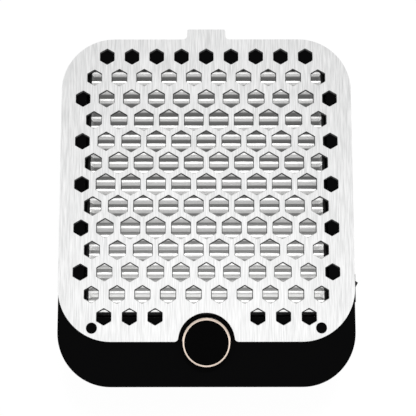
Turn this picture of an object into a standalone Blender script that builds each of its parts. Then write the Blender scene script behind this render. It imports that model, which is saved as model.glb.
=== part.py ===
"""Nail dust collector: a desktop extractor with a lift-off perforated steel cover over a pleated filter.

A centrifugal fan in the lower shell draws air down through the cover and the filter, and blows it out at
the back. Metres, +Z up, the front (the knob's end) towards -Y. The origin is under the middle of the
outline, on the table.
"""
import math

import bmesh
import bpy

# Running gaps and fits that several pieces share
seat_gap = 0.0003
fit_gap = 0.0002
cut_overrun = 0.0010
join_overlap = 0.0004
weld_distance = 0.00001
screw_merge = 0.00001

# Outline of the body
body_width = 0.2210
body_length = 0.2624
corner_share = 0.0400 / 0.2210
mould_draft = 0.0008
tab_reach = 0.0079
corner_steps = 6

# Shells
shell_wall = 0.0025
foot_lift = 0.0025
lower_height = 0.0275
upper_height = 0.0292
base_rounding = 0.0090
base_rounding_steps = 3
lip_height = 0.0020
lip_wall = 0.0011
deck_rounding = 0.0007

# Cover plate
plate_thickness = 0.0012
front_band = 0.0331
plate_inset = 0.0001
tab_width = 0.0294
tab_corner = 0.0015
tab_fillet = 0.0030
column_share = 0.0190 / 0.2210
row_spaces = 12
first_row_margin = 0.0135
last_row_margin = 0.01835
small_share = 0.584
medium_share = 0.632
wide_share = 0.684
large_share = 0.784
outer_hole_inset = 0.0165
pin_inset = 0.02555
pin_margin = 0.0101
pin_hole_radius = 0.0040
pin_radius = 0.0037
pin_rise = 0.0013

# Speed knob and its ring
knob_setback = 0.0002
knob_cutout_radius = 0.0209
cutout_corner = 0.0030
knob_top_radius = 0.0160
ring_outer_radius = 0.0178
ring_drop = 0.0020
ring_band = 0.0006
ring_steps = 4
knob_rise = 0.0060
knob_float = 0.0008
knob_skirt_wall = 0.0016
knob_crown = 0.0018
knob_boss_radius = 0.0052
knob_boss_gap = 0.0008
knob_bore_cover = 0.0008

# Potentiometer under the deck
pot_radius = 0.00825
pot_height = 0.0085
bushing_radius = 0.0040
bushing_length = 0.0056
shaft_radius = 0.0030
shaft_bore_gap = 0.0002
washer_radius = 0.0070
washer_thickness = 0.0005
nut_flats = 0.0110
nut_thickness = 0.0020
lug_board_width = 0.0130
lug_board_length = 0.0120
lug_board_thickness = 0.0012
lug_rise = 0.0020

# Filter
pleat_count = 26
pleat_edge = 0.00087
media_thickness = 0.0007
media_side_inset = 0.0213
media_front_inset = 0.0206
media_back_inset = 0.0234
filter_drop = 0.0080
frame_wall = 0.0018
frame_height = 0.0186
frame_lip = 0.0040
frame_lip_thickness = 0.0012
frame_rib_width = 0.0030
frame_rib_count = 3
frame_corner = 0.0050
seal_thickness = 0.0023
seal_width = 0.0060
well_clearance = 0.0007
well_wall = 0.0018
well_floor = 0.0020

# Fan
fan_offset_share = 0.0140 / 0.2210
impeller_width_share = 0.0580 / 0.2210
impeller_length_share = 0.0580 / 0.2624
blade_depth_share = 0.0150 / 0.0580
blade_count = 16
blade_sweep = math.radians(24)
blade_bow = math.radians(34)
blade_thickness = 0.0012
blade_steps = 3
impeller_disc_thickness = 0.0015
shroud_thickness = 0.0012
hub_radius = 0.0205
hub_wall = 0.0013
hub_top_radius = 0.0197
fan_running_gap = 0.0013
inlet_share = 0.0440 / 0.0580
scroll_clearance_share = 0.0060 / 0.0580
scroll_growth_share = 0.0200 / 0.0580
scroll_wall = 0.0018
scroll_base_thickness = 0.0018
scroll_cover_thickness = 0.0014
scroll_steps = 24
tongue_angle = math.radians(60)
ear_angles = (math.radians(135), math.radians(225), math.radians(300))
fan_boss_height = 0.0030
ear_radius = 0.0050
ear_reach = 0.0040
boss_radius = 0.0040
duct_clearance = 0.0016
guard_rim = 0.0025
guard_thickness = 0.0010
guard_ring_radii_shares = (0.4, 0.7)
guard_ring_width = 0.0014
guard_spokes = 6
guard_spoke_width = 0.0016
guard_hub_radius = 0.0060
guard_margin = 0.0020

# Motor
rotor_radius = 0.0188
rotor_wall = 0.0012
magnet_thickness = 0.0014
magnet_height = 0.0080
stator_radius = 0.0155
stator_tooth_count = 6
stator_slot_width = 0.0036
stator_core_radius = 0.0085
stator_height = 0.0070
tube_outer_radius = 0.0052
tube_inner_radius = 0.0034
tube_flange_radius = 0.0100
tube_flange_thickness = 0.0012
bearing_radius = 0.0031
bearing_length = 0.0028
bearing_bore_gap = 0.0002
motor_shaft_radius = 0.0015
clip_radius = 0.0027
clip_thickness = 0.0005
clip_groove_radius = 0.00105
motor_board_radius = 0.0140
motor_board_thickness = 0.0010

# Rocker switch in the right wall
switch_depth = 0.0115
switch_raise_y = 0.0042
rocker_half_length = 0.0054
rocker_half_width = 0.00425
rocker_face_height = 0.0033
rocker_skirt = 0.0012
rocker_flare = 0.0012
rocker_depth = 0.0024
rocker_keel_share = 0.5
rocker_half_throw = math.radians(15)
rocker_pin_radius = 0.0011
switch_side_gap = 0.0006
switch_side_wall = 0.0011
switch_end_wall = 0.0012
switch_body_depth = 0.0135
switch_back_wall = 0.0015
bezel_thickness = 0.0007
bezel_border = 0.0011
bezel_end_border = 0.0014
switch_tip_inset = 0.0431
terminal_width = 0.0040
terminal_thickness = 0.0008
terminal_length = 0.0060
terminal_spacing = 0.0080

# Low-voltage inlet in the back wall
inlet_side_inset = 0.0605
inlet_z = 0.0180
inlet_body_radius = 0.0060
inlet_thread_radius = 0.0038
inlet_bore_radius = 0.0028
inlet_bore_depth = 0.0095
inlet_body_length = 0.0100
inlet_nose = 0.0030
inlet_nut_flats = 0.0110
inlet_nut_thickness = 0.0018
inlet_pin_radius = 0.0010
inlet_pin_recess = 0.0012

# Exhaust slots in the back wall
slot_width = 0.0030
slot_pitch = 0.0054
slot_bottom = 0.0125
slot_top = 0.0272

# Screws, bosses and feet
screw_shank_radius = 0.0013
screw_head_radius = 0.0030
screw_head_height = 0.0018
screw_crown_share = 0.7
screw_edge_share = 0.4
screw_grip = 0.0120
screw_clearance = 0.0004
screw_boss_radius = 0.0042
screw_recess_depth = 0.0160
fan_screw_length = 0.0040
fan_screw_head_radius = 0.0026
fan_screw_head_height = 0.0014
front_screw_inset = 0.0230
back_screw_inset = 0.0102
front_screw_side_inset = 0.0285
back_screw_share = 0.0780 / 0.2210
side_screw_side_inset = 0.0085
foot_radius = 0.0090
foot_edge = 0.0010
foot_stem_radius = 0.0028
foot_stem_rise = 0.0025
foot_head_radius = 0.0034
foot_head_tip_radius = 0.0020
foot_head_height = 0.0012
foot_side_inset = 0.0285
foot_front_inset = 0.0490
foot_back_inset = 0.0360

# Control board in the front of the lower shell
board_width = 0.0900
board_screw_inset = 0.0060
board_part_share = 0.28
board_length = 0.0300
board_thickness = 0.0016
board_inset = 0.02675
standoff_height = 0.0040
capacitor_share = 0.0050 / 0.0900
capacitor_height = 0.0140
capacitor_crimp = 0.00075
heat_sink_share = 0.0160 / 0.0900
heat_sink_length = 0.0100
heat_sink_height = 0.0150
heat_sink_fin = 0.0012
heat_sink_fins = 5
heat_sink_back = 0.0024
connector_width = 0.0120
connector_length = 0.0070
connector_height = 0.0070
connector_wall = 0.0010

# Leads
lead_radius = 0.0011
lead_turn_steps = 3
inlet_lead_shares = (0.60, 0.45)
inlet_lead_screw_gap = 0.0048
switch_lead_shares = (0.62, 0.46, 0.40)
switch_lead_length_share = 0.3

# Segment counts
fine_steps = 36
motor_steps = 24
round_steps = 16
small_steps = 8
sharp_angle = math.radians(30)
rounding_middle = 1 - math.sqrt(0.5)
tab_steps = 4
cutout_corner_steps = 5
cutout_steps = 20
well_corner_steps = 4
frame_corner_steps = 3
tooth_steps = 4

# Places worked out across the width
corner_radius = body_width * corner_share
front_screw_x = body_width / 2 - front_screw_side_inset
back_screw_x = body_width * back_screw_share
side_screw_x = body_width / 2 - side_screw_side_inset
foot_x = body_width / 2 - foot_side_inset
pin_x = body_width / 2 - pin_inset
outer_hole_x = body_width / 2 - outer_hole_inset
inlet_x = inlet_side_inset - body_width / 2
media_half_width = body_width / 2 - media_side_inset
fan_x = -body_width * fan_offset_share
board_screw_spread = board_width - board_screw_inset * 2
board_part_x = board_width * board_part_share
heat_sink_width = board_width * heat_sink_share
capacitor_radius = board_width * capacitor_share

# Fan sizes worked out from the body's
impeller_radius = min(body_width * impeller_width_share, body_length * impeller_length_share)
blade_inner_radius = impeller_radius * (1 - blade_depth_share)
inlet_radius = impeller_radius * inlet_share
scroll_start_radius = impeller_radius * (1 + scroll_clearance_share)
scroll_end_radius = scroll_start_radius + impeller_radius * scroll_growth_share
guard_opening = inlet_radius + guard_margin

# Heights worked out from the stack
base_z = foot_lift
floor_z = base_z + shell_wall
parting_z = base_z + lower_height
upper_z = parting_z + seat_gap
deck_z = upper_z + upper_height
plate_z = deck_z + seat_gap
plate_top = plate_z + plate_thickness
knob_top = plate_top + knob_rise
media_top = plate_top - filter_drop
well_floor_top = upper_z + well_floor
seal_z = well_floor_top + seat_gap
filter_z = seal_z + seal_thickness + seat_gap
scroll_z = floor_z + fan_boss_height + seat_gap
scroll_inside_z = scroll_z + scroll_base_thickness
scroll_top = parting_z - seat_gap - scroll_cover_thickness
impeller_z = scroll_inside_z + fan_running_gap
impeller_top = scroll_top - fan_running_gap

# Places worked out along the length
body_y = (mould_draft - tab_reach) / 2
body_front = body_y - body_length / 2
body_back = body_y + body_length / 2
plate_back = body_back - plate_inset
plate_length = body_length - front_band
plate_front = plate_back - plate_length
plate_half_width = body_width / 2 - plate_inset
knob_y = plate_front + knob_setback
column_pitch = body_width * column_share
row_pitch = (plate_length - first_row_margin - last_row_margin) / row_spaces
hole_room = min(column_pitch, row_pitch * 2 / math.sqrt(3))
hole_small = hole_room * small_share
hole_medium = hole_room * medium_share
hole_wide = hole_room * wide_share
hole_large = hole_room * large_share
first_row_y = plate_back - first_row_margin
filter_centre_y = (plate_front + media_front_inset + plate_back - media_back_inset) / 2
media_half_length = (plate_back - media_back_inset - plate_front - media_front_inset) / 2
pleat_pitch = (media_half_length - pleat_edge) * 2 / pleat_count
fan_y = filter_centre_y
switch_tip_y = plate_front + switch_tip_inset
board_y = body_front + board_inset
filter_half_width = media_half_width + seat_gap + frame_wall
filter_half_length = media_half_length + seat_gap + frame_wall
well_half_width = filter_half_width + well_clearance
well_half_length = filter_half_length + well_clearance
board_z = floor_z + standoff_height + seat_gap
board_top = board_z + board_thickness


def clear_scene():
    for old in list(bpy.data.objects):
        bpy.data.objects.remove(old, do_unlink=True)
    for old in list(bpy.data.collections):
        bpy.data.collections.remove(old)


def new_collection(name):
    collection = bpy.data.collections.new(name)
    bpy.context.scene.collection.children.link(collection)
    return collection


def make_material(name, colour, roughness, metallic=0.0):
    """A Principled material with one colour."""
    material = bpy.data.materials.new(name)
    material.use_nodes = True
    shader = material.node_tree.nodes["Principled BSDF"]
    shader.inputs["Base Color"].default_value = (*colour, 1.0)
    shader.inputs["Roughness"].default_value = roughness
    shader.inputs["Metallic"].default_value = metallic
    material.diffuse_color = (*colour, 1.0)
    return material


def add_object(name, mesh, place=(0, 0, 0), material=None, parent=None):
    """Put a mesh in the model as a sub-part, or among the cutters where it has no material."""
    piece = bpy.data.objects.new(name, mesh)
    piece.location = place
    if material is None:
        cutters.objects.link(piece)
        piece.hide_render = True
        piece.display_type = "WIRE"
    else:
        parts.objects.link(piece)
        mesh.materials.clear()
        mesh.materials.append(material)
    if parent is not None:
        piece.parent = parent
        piece.location = [here - there for here, there in zip(place, parent.location)]
    return piece


def axis_empty(name, place):
    """The empty that a moving body's pieces hang from, on its joint's axis."""
    empty = bpy.data.objects.new(name, None)
    empty.location = place
    parts.objects.link(empty)
    return empty


def boolean(piece, tool, operation):
    change = piece.modifiers.new(tool.name, "BOOLEAN")
    change.operation = operation
    change.object = tool
    change.solver = "EXACT"


def cut(piece, *tools):
    for tool in tools:
        boolean(piece, tool, "DIFFERENCE")


def join(piece, *tools):
    for tool in tools:
        boolean(piece, tool, "UNION")


def arc(centre_x, centre_y, radius, start, end, steps):
    """Points along an arc, both ends included."""
    angles = [start + (end - start) * i / steps for i in range(steps + 1)]
    return [(centre_x + radius * math.cos(a), centre_y + radius * math.sin(a)) for a in angles]


def rounded_outline(half_width, half_length, radius, steps=corner_steps, centre_y=0, centre_x=0):
    """A rectangle with round corners, counter-clockwise."""
    points = []
    for quarter, (side_x, side_y) in enumerate(((1, 1), (-1, 1), (-1, -1), (1, -1))):
        start = quarter * math.pi / 2
        points += arc(centre_x + side_x * (half_width - radius), centre_y + side_y * (half_length - radius),
                      radius, start, start + math.pi / 2, steps)
    return points


def body_outline(inset, steps=corner_steps):
    """The body's outline, drawn in on every side by the inset."""
    return rounded_outline(body_width / 2 - inset, body_length / 2 - inset, corner_radius - inset, steps,
                           body_y)


def circle(radius, steps, centre_x=0, centre_y=0, phase=0):
    step = 2 * math.pi / steps
    return [(centre_x + radius * math.cos(phase + step * i), centre_y + radius * math.sin(phase + step * i))
            for i in range(steps)]


def hexagon(flats, centre_x=0, centre_y=0, phase=math.pi / 2):
    """A hexagon by its width across flats, with a corner at the phase angle."""
    return circle(flats / math.sqrt(3), 6, centre_x, centre_y, phase)


def flat_mesh(name, loops, bottom, top):
    """A flat piece between two heights: the first loop is its outline, the others are holes."""
    curve = bpy.data.curves.new(name, "CURVE")
    curve.dimensions = "2D"
    curve.fill_mode = "BOTH"
    curve.extrude = (top - bottom) / 2
    for loop in loops:
        spline = curve.splines.new("POLY")
        spline.points.add(len(loop) - 1)
        for point, (x, y) in zip(spline.points, loop):
            point.co = (x, y, 0, 1)
        spline.use_cyclic_u = True
    return curve_to_mesh(name, curve, (bottom + top) / 2)


def curve_to_mesh(name, curve, height=0):
    """The mesh of a curve, with its caps welded on."""
    holder = bpy.data.objects.new(name, curve)
    holder.location.z = height
    bpy.context.scene.collection.objects.link(holder)
    bpy.context.view_layer.update()
    evaluated = holder.evaluated_get(bpy.context.evaluated_depsgraph_get())
    mesh = bpy.data.meshes.new_from_object(evaluated)
    mesh.transform(holder.matrix_world)
    bpy.data.objects.remove(holder)
    bpy.data.curves.remove(curve)
    face_outwards(mesh)
    return mesh


def face_outwards(mesh):
    """Weld a closed mesh's seams and turn its faces out."""
    work = bmesh.new()
    work.from_mesh(mesh)
    bmesh.ops.remove_doubles(work, verts=work.verts, dist=weld_distance)
    bmesh.ops.recalc_face_normals(work, faces=work.faces)
    work.to_mesh(mesh)
    work.free()


def turned_mesh(name, profile, steps, closed=True):
    """A turned piece: a profile of (radius, height) points, down its outer side, spun round Z."""
    mesh = bpy.data.meshes.new(name)
    count = len(profile)
    edges = [(i, i + 1) for i in range(count - 1)]
    if closed:
        edges.append((count - 1, 0))
    mesh.from_pydata([(radius, 0, height) for radius, height in profile], edges, [])
    holder = bpy.data.objects.new(name, mesh)
    bpy.context.scene.collection.objects.link(holder)
    turn = holder.modifiers.new("turn", "SCREW")
    turn.steps = steps
    turn.render_steps = steps
    turn.use_merge_vertices = True
    turn.merge_threshold = screw_merge
    turn.use_normal_calculate = True
    bpy.context.view_layer.update()
    turned = bpy.data.meshes.new_from_object(holder.evaluated_get(bpy.context.evaluated_depsgraph_get()))
    bpy.data.objects.remove(holder)
    face_outwards(turned)
    turned.shade_smooth()
    turned.set_sharp_from_angle(angle=sharp_angle)
    return turned


def box_mesh(name, size, centre):
    """A box by its size and centre."""
    mesh = bpy.data.meshes.new(name)
    work = bmesh.new()
    bmesh.ops.create_cube(work, size=1)
    for vertex in work.verts:
        vertex.co = [middle + side * share for middle, side, share in zip(centre, size, vertex.co)]
    work.to_mesh(mesh)
    work.free()
    return mesh


def merged_mesh(name, meshes):
    """Several closed forms that don't touch, in one mesh, for a cutter."""
    merged = bpy.data.meshes.new(name)
    work = bmesh.new()
    for mesh in meshes:
        work.from_mesh(mesh)
    work.to_mesh(merged)
    work.free()
    return merged


def rod_mesh(name, radius, bottom, top, steps, centre_x=0, centre_y=0):
    """A plain upright cylinder."""
    mesh = bpy.data.meshes.new(name)
    work = bmesh.new()
    bmesh.ops.create_cone(work, cap_ends=True, segments=steps, radius1=radius, radius2=radius,
                          depth=top - bottom)
    bmesh.ops.translate(work, verts=work.verts, vec=(centre_x, centre_y, (bottom + top) / 2))
    work.to_mesh(mesh)
    work.free()
    return mesh


def lead_mesh(name, route):
    """A lead: a round tube along a smooth curve through the route's points."""
    points = []
    ends = [route[0], *route, route[-1]]
    for before, start, end, after in zip(ends, ends[1:], ends[2:], ends[3:]):
        for i in range(lead_turn_steps):
            t = i / lead_turn_steps
            points.append([catmull(a, b, c, d, t) for a, b, c, d in zip(before, start, end, after)])
    points.append(route[-1])
    curve = bpy.data.curves.new(name, "CURVE")
    curve.dimensions = "3D"
    curve.bevel_depth = lead_radius
    curve.bevel_resolution = 2
    curve.use_fill_caps = True
    spline = curve.splines.new("POLY")
    spline.points.add(len(points) - 1)
    for point, place in zip(spline.points, points):
        point.co = (*place, 1)
    return curve_to_mesh(name, curve)


def catmull(a, b, c, d, t):
    """One coordinate on the smooth curve from b to c."""
    return 0.5 * (2 * b + (c - a) * t + (2 * a - 5 * b + 4 * c - d) * t * t + (3 * b - a - 3 * c + d) * t ** 3)


# Shells

def shell_surface(name, levels, cap_first):
    """An open moulded surface through outlines at several heights, closed at its first level."""
    mesh = bpy.data.meshes.new(name)
    work = bmesh.new()
    rings = [[work.verts.new((x, y, height)) for x, y in body_outline(inset)] for inset, height in levels]
    work.faces.new(rings[0])
    for low, high in zip(rings, rings[1:]):
        for i in range(len(low)):
            j = (i + 1) % len(low)
            work.faces.new((low[i], low[j], high[j], high[i]))
    bmesh.ops.recalc_face_normals(work, faces=work.faces)
    if (work.faces[:][0].normal.z > 0) != cap_first:
        bmesh.ops.reverse_faces(work, faces=work.faces)
    work.to_mesh(mesh)
    work.free()
    return mesh


def screw_places():
    """The six housing screws: front and back corners, and the middle of each side."""
    return [(side * x, y) for x, y in ((front_screw_x, body_front + front_screw_inset),
                                       (side_screw_x, filter_centre_y),
                                       (back_screw_x, body_back - back_screw_inset)) for side in (-1, 1)]


def foot_places():
    return [(side * foot_x, y) for y in (body_front + foot_front_inset, body_back - foot_back_inset)
            for side in (-1, 1)]


def board_screw_places():
    return [(side * board_screw_spread / 2, board_y) for side in (-1, 1)]


def make_lower_housing(material):
    """The base tray: drafted walls on a rounded bottom, bosses, exhaust slots and holes for what it carries."""
    rounding = [(base_rounding * (1 - math.sin(a)), base_z + base_rounding * (1 - math.cos(a)))
                for a in (math.pi / 2 * i / base_rounding_steps for i in range(base_rounding_steps + 1))]
    levels = rounding + [(-mould_draft, parting_z + cut_overrun)]
    housing = add_object("lower_housing", shell_surface("lower_housing", levels, False), material=material)
    wall = housing.modifiers.new("wall", "SOLIDIFY")
    wall.thickness = shell_wall
    wall.offset = -1
    wall.use_even_offset = True
    trim = add_object("lower_trim", box_mesh("lower_trim", (body_width * 2, body_length * 2, shell_wall * 2),
                                             (0, body_y, parting_z + shell_wall)))
    cut(housing, trim)
    posts = []
    for x, y in screw_places():
        posts.append(rod_mesh("post", screw_boss_radius, floor_z - join_overlap, parting_z, round_steps, x, y))
    for x, y in ear_places():
        posts.append(rod_mesh("post", boss_radius, floor_z - join_overlap, floor_z + fan_boss_height,
                              round_steps, x, y))
    for x, y in board_screw_places():
        posts.append(rod_mesh("post", boss_radius, floor_z - join_overlap, floor_z + standoff_height,
                              round_steps, x, y))
    lip = flat_mesh("lip", [body_outline(shell_wall - lip_wall), body_outline(shell_wall + fit_gap)],
                    parting_z - lip_height, parting_z + lip_height)
    join(housing, add_object("lower_posts", merged_mesh("lower_posts", posts)),
         add_object("lower_lip", lip))
    holes = []
    for x, y in screw_places():
        holes.append(rod_mesh("hole", screw_shank_radius + screw_clearance, base_z, parting_z + cut_overrun,
                              small_steps, x, y))
        holes.append(rod_mesh("recess", screw_head_radius + screw_clearance, base_z - cut_overrun,
                              base_z + screw_recess_depth, round_steps, x, y))
    bores = []
    for x, y in ear_places() + board_screw_places():
        bores.append(rod_mesh("bore", screw_shank_radius + seat_gap, base_z + shell_wall / 2,
                              scroll_z + scroll_base_thickness, small_steps, x, y))
    for x, y in foot_places():
        bores.append(rod_mesh("bore", foot_stem_radius + seat_gap, base_z - cut_overrun, floor_z + cut_overrun,
                              small_steps, x, y))
    cut(housing, add_object("lower_recess_cutter", merged_mesh("lower_recess_cutter", holes[1::2])),
        add_object("lower_hole_cutter", merged_mesh("lower_hole_cutter", holes[0::2])),
        add_object("lower_bore_cutter", merged_mesh("lower_bore_cutter", bores)))
    left, right = duct_sides()
    count = int((right - left - slot_width) / slot_pitch) + 1
    middle = (left + right) / 2
    slots = [box_mesh("slot", (slot_width, shell_wall * 3, slot_top - slot_bottom),
                      (middle + slot_pitch * (i - (count - 1) / 2), body_back, (slot_top + slot_bottom) / 2))
             for i in range(count)]
    inlet = add_object("inlet_hole_cutter", rod_mesh("inlet_hole_cutter", inlet_thread_radius + seat_gap,
                                                     -shell_wall * 2, shell_wall * 2, round_steps),
                       (inlet_x, body_back, inlet_z))
    inlet.rotation_euler.x = math.pi / 2
    cut(housing, add_object("slot_cutter", merged_mesh("slot_cutter", slots)), inlet)
    return housing


def make_upper_housing(material):
    """The top shell: deck, drafted walls, the filter well with its fan opening, posts and locating pins."""
    middle = deck_rounding * rounding_middle
    levels = [(deck_rounding, deck_z), (middle, deck_z - middle), (0, deck_z - deck_rounding),
              (-mould_draft, upper_z - cut_overrun)]
    housing = add_object("upper_housing", shell_surface("upper_housing", levels, True), material=material)
    wall = housing.modifiers.new("wall", "SOLIDIFY")
    wall.thickness = shell_wall
    wall.offset = -1
    wall.use_even_offset = True
    trim = add_object("upper_trim", box_mesh("upper_trim", (body_width * 2, body_length * 2, shell_wall * 2),
                                             (0, body_y, upper_z - shell_wall)))
    rebate = flat_mesh("rebate", [body_outline(shell_wall - lip_wall - fit_gap),
                                  body_outline(shell_wall + lip_wall)],
                       upper_z - cut_overrun, parting_z + lip_height + seat_gap)
    cut(housing, trim, add_object("rebate_cutter", rebate))
    well = flat_mesh("well", [rounded_outline(well_half_width + well_wall, well_half_length + well_wall,
                                              frame_corner + well_clearance + well_wall, well_corner_steps,
                                           filter_centre_y)],
                     upper_z, deck_z - shell_wall / 2)
    posts = [rod_mesh("post", screw_boss_radius, upper_z, deck_z - shell_wall / 2, round_steps, x, y)
             for x, y in screw_places()]
    pins = [rod_mesh("pin", pin_radius, deck_z - shell_wall / 2, plate_z + pin_rise, round_steps,
                     side * pin_x, plate_front + pin_margin) for side in (-1, 1)]
    join(housing, add_object("well_block", well), add_object("upper_posts", merged_mesh("upper_posts", posts)),
         add_object("pin_blocks", merged_mesh("pin_blocks", pins)))
    hollow = flat_mesh("hollow", [rounded_outline(well_half_width, well_half_length,
                                                  frame_corner + well_clearance, well_corner_steps,
                                                  filter_centre_y)],
                       well_floor_top, deck_z + cut_overrun)
    fan_hole = rod_mesh("fan_hole", guard_opening, upper_z - cut_overrun, well_floor_top + cut_overrun,
                        fine_steps, fan_x, fan_y)
    guard_seat = rod_mesh("guard_seat", guard_opening + guard_rim + fit_gap,
                          well_floor_top - guard_thickness - seat_gap,
                          well_floor_top + cut_overrun, fine_steps, fan_x, fan_y)
    pot_hole = rod_mesh("pot_hole", bushing_radius + seat_gap, deck_z - shell_wall * 2, deck_z + cut_overrun,
                        round_steps, 0, knob_y)
    bores = [rod_mesh("bore", screw_shank_radius + seat_gap, upper_z - cut_overrun,
                      upper_z + screw_grip + seat_gap, small_steps, x, y) for x, y in screw_places()]
    cut(housing, add_object("hollow_cutter", hollow), add_object("fan_hole_cutter", fan_hole),
        add_object("guard_seat_cutter", guard_seat), add_object("pot_hole_cutter", pot_hole),
        add_object("upper_bore_cutter", merged_mesh("upper_bore_cutter", bores)))
    body_half_length = rocker_swing_radius() + switch_side_gap + switch_end_wall + seat_gap
    body_half_width = rocker_half_width + switch_side_gap + switch_side_wall + seat_gap
    window = box_mesh("window", (shell_wall * 4, body_half_length * 2, body_half_width * 2),
                      (body_width / 2, switch_y(), switch_z()))
    cut(housing, add_object("switch_window_cutter", window))
    return housing


# Cover plate

def plate_outline():
    """The plate's edge: round corners, the finger tab at the back, the knob's cut-out at the front."""
    radius = corner_radius - plate_inset
    corner_x = plate_half_width - radius
    right_angle = math.pi / 2
    points = arc(corner_x, plate_front + radius, radius, -right_angle, 0, corner_steps)
    points += arc(corner_x, plate_back - radius, radius, 0, right_angle, corner_steps)
    tab_half = tab_width / 2
    tab_tip = plate_back + tab_reach
    points += arc(tab_half + tab_fillet, plate_back + tab_fillet, tab_fillet, 3 * right_angle, 2 * right_angle,
                  tab_steps)
    points += arc(tab_half - tab_corner, tab_tip - tab_corner, tab_corner, 0, right_angle,
                  tab_steps)
    points += arc(-tab_half + tab_corner, tab_tip - tab_corner, tab_corner, right_angle,
                  2 * right_angle, tab_steps)
    points += arc(-tab_half - tab_fillet, plate_back + tab_fillet, tab_fillet, 0, -right_angle,
                  tab_steps)
    points += arc(-corner_x, plate_back - radius, radius, right_angle, 2 * right_angle, corner_steps)
    points += arc(-corner_x, plate_front + radius, radius, 2 * right_angle, 3 * right_angle, corner_steps)
    reach = knob_cutout_radius + cutout_corner
    rise = plate_front + cutout_corner - knob_y
    turn_x = math.sqrt(reach ** 2 - rise ** 2)
    lean = math.asin(rise / reach)
    points += arc(-turn_x, plate_front + cutout_corner, cutout_corner, -right_angle, -lean,
                  cutout_corner_steps)
    points += arc(0, knob_y, knob_cutout_radius, math.pi - lean, lean, cutout_steps)[1:-1]
    points += arc(turn_x, plate_front + cutout_corner, cutout_corner, math.pi + lean,
                  3 * right_angle, cutout_corner_steps)
    return points


def hole_rows():
    """Each row's hole sizes from the middle outwards, from the back row to the front one."""
    back_half = [
        [hole_small] * 5,
        [hole_medium] * 4 + [hole_small],
        [hole_wide] * 4 + [hole_medium, hole_small],
        [hole_large] * 3 + [hole_wide, hole_medium],
        [hole_large] * 4 + [hole_wide, hole_small],
        [hole_large] * 4 + [hole_wide],
    ]
    middle = [hole_large] * 5 + [hole_small]
    front_row = [None] * 2 + [hole_small] * 3
    return back_half + [middle] + back_half[:0:-1] + [front_row]


def plate_holes():
    """The hexagons: odd rows have one on the centre line, even rows stand half a pitch over."""
    holes = []
    for row, sizes in enumerate(hole_rows()):
        y = first_row_y - row * row_pitch
        shift = row % 2 / 2
        for step, flats in enumerate(sizes):
            if flats is None:
                continue
            x = min((step + shift) * column_pitch, outer_hole_x)
            for side in (1, -1) if x else (1,):
                holes.append(hexagon(flats, side * x, y))
    return holes


def make_cover_plate(material, lift):
    pin_holes = [circle(pin_hole_radius, round_steps, side * pin_x, plate_front + pin_margin)
                 for side in (-1, 1)]
    mesh = flat_mesh("cover_plate", [plate_outline(), *plate_holes(), *pin_holes], plate_z, plate_top)
    return add_object("cover_plate", mesh, material=material, parent=lift)


# Filter

def make_filter(frame_material, media_material, seal_material, lift):
    """The pleated media in its frame, on a foam seal."""
    outer = rounded_outline(filter_half_width, filter_half_length, frame_corner, frame_corner_steps,
                              filter_centre_y)
    inner_half_width = filter_half_width - frame_wall
    inner_half_length = filter_half_length - frame_wall
    frame = add_object("filter_frame", flat_mesh("filter_frame", [outer], filter_z, filter_z + frame_height),
                       material=frame_material, parent=lift)
    tray = box_mesh("tray", (inner_half_width * 2, inner_half_length * 2, frame_height),
                    (0, filter_centre_y, filter_z + frame_lip_thickness + frame_height / 2))
    open_width = (inner_half_width - frame_lip) * 2
    bay_width = (open_width - frame_rib_count * frame_rib_width) / (frame_rib_count + 1)
    bays = [box_mesh("bay", (bay_width, (inner_half_length - frame_lip) * 2, frame_height),
                     ((bay_width + frame_rib_width) * (i - frame_rib_count / 2), filter_centre_y, filter_z))
            for i in range(frame_rib_count + 1)]
    cut(frame, add_object("tray_cutter", tray), add_object("bay_cutter", merged_mesh("bay_cutter", bays)))

    media = flat_mesh("filter_media", [pleat_section()], -media_half_width, media_half_width)
    turn_flat_mesh(media)
    add_object("filter_media", media, material=media_material, parent=lift)

    seal = flat_mesh("filter_seal", [outer, rounded_outline(filter_half_width - seal_width,
                                                            filter_half_length - seal_width,
                                                            frame_corner, frame_corner_steps, filter_centre_y)],
                     seal_z, seal_z + seal_thickness)
    add_object("filter_seal", seal, material=seal_material, parent=lift)


def pleat_section():
    """The folded sheet's section as (length, height), between its glued front and back edges."""
    foot = filter_z + frame_lip_thickness + seat_gap
    half_pitch = pleat_pitch / 2
    fall = media_top - foot
    slant = media_thickness * math.hypot(fall, half_pitch) / half_pitch
    front = filter_centre_y - media_half_length
    folds = [(front + pleat_edge + half_pitch * i, media_top if i % 2 == 0 else foot + slant)
             for i in range(pleat_count * 2 + 1)]
    top = [(front, media_top), *folds, (front + media_half_length * 2, media_top)]
    return [(y, z - slant) for y, z in top] + top[::-1]


def turn_flat_mesh(mesh):
    """Turn a section drawn as (length, height) and extruded upwards so that it runs along X."""
    for vertex in mesh.vertices:
        along, height, across = vertex.co
        vertex.co = (across, along, height)
    face_outwards(mesh)


# Fan

def duct_sides():
    """The outlet duct's inner sides: from the scroll's tongue to its widest point."""
    return fan_x + scroll_start_radius * math.cos(tongue_angle), fan_x + scroll_end_radius


def scroll_outline(wall):
    """The scroll's spiral, the wall's thickness outside the air's path, from the tongue to its widest point."""
    span = 2 * math.pi - tongue_angle
    points = []
    for i in range(scroll_steps + 1):
        share = i / scroll_steps
        angle = tongue_angle + span * share
        radius = scroll_start_radius + (scroll_end_radius - scroll_start_radius) * share + wall
        points.append((fan_x + radius * math.cos(angle), fan_y + radius * math.sin(angle)))
    return points


def duct_outline(wall, back):
    """The straight outlet, from beside the fan to the back wall."""
    left, right = duct_sides()
    return [(left - wall, fan_y), (right + wall, fan_y), (right + wall, back), (left - wall, back)]


def scroll_block(name, wall, back, bottom, top):
    """The scroll and its outlet as two blocks: the spiral one, and the outlet's to add to it."""
    return (flat_mesh(name, [scroll_outline(wall)], bottom, top),
            flat_mesh(name + "_outlet", [duct_outline(wall, back)], bottom, top))


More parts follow.
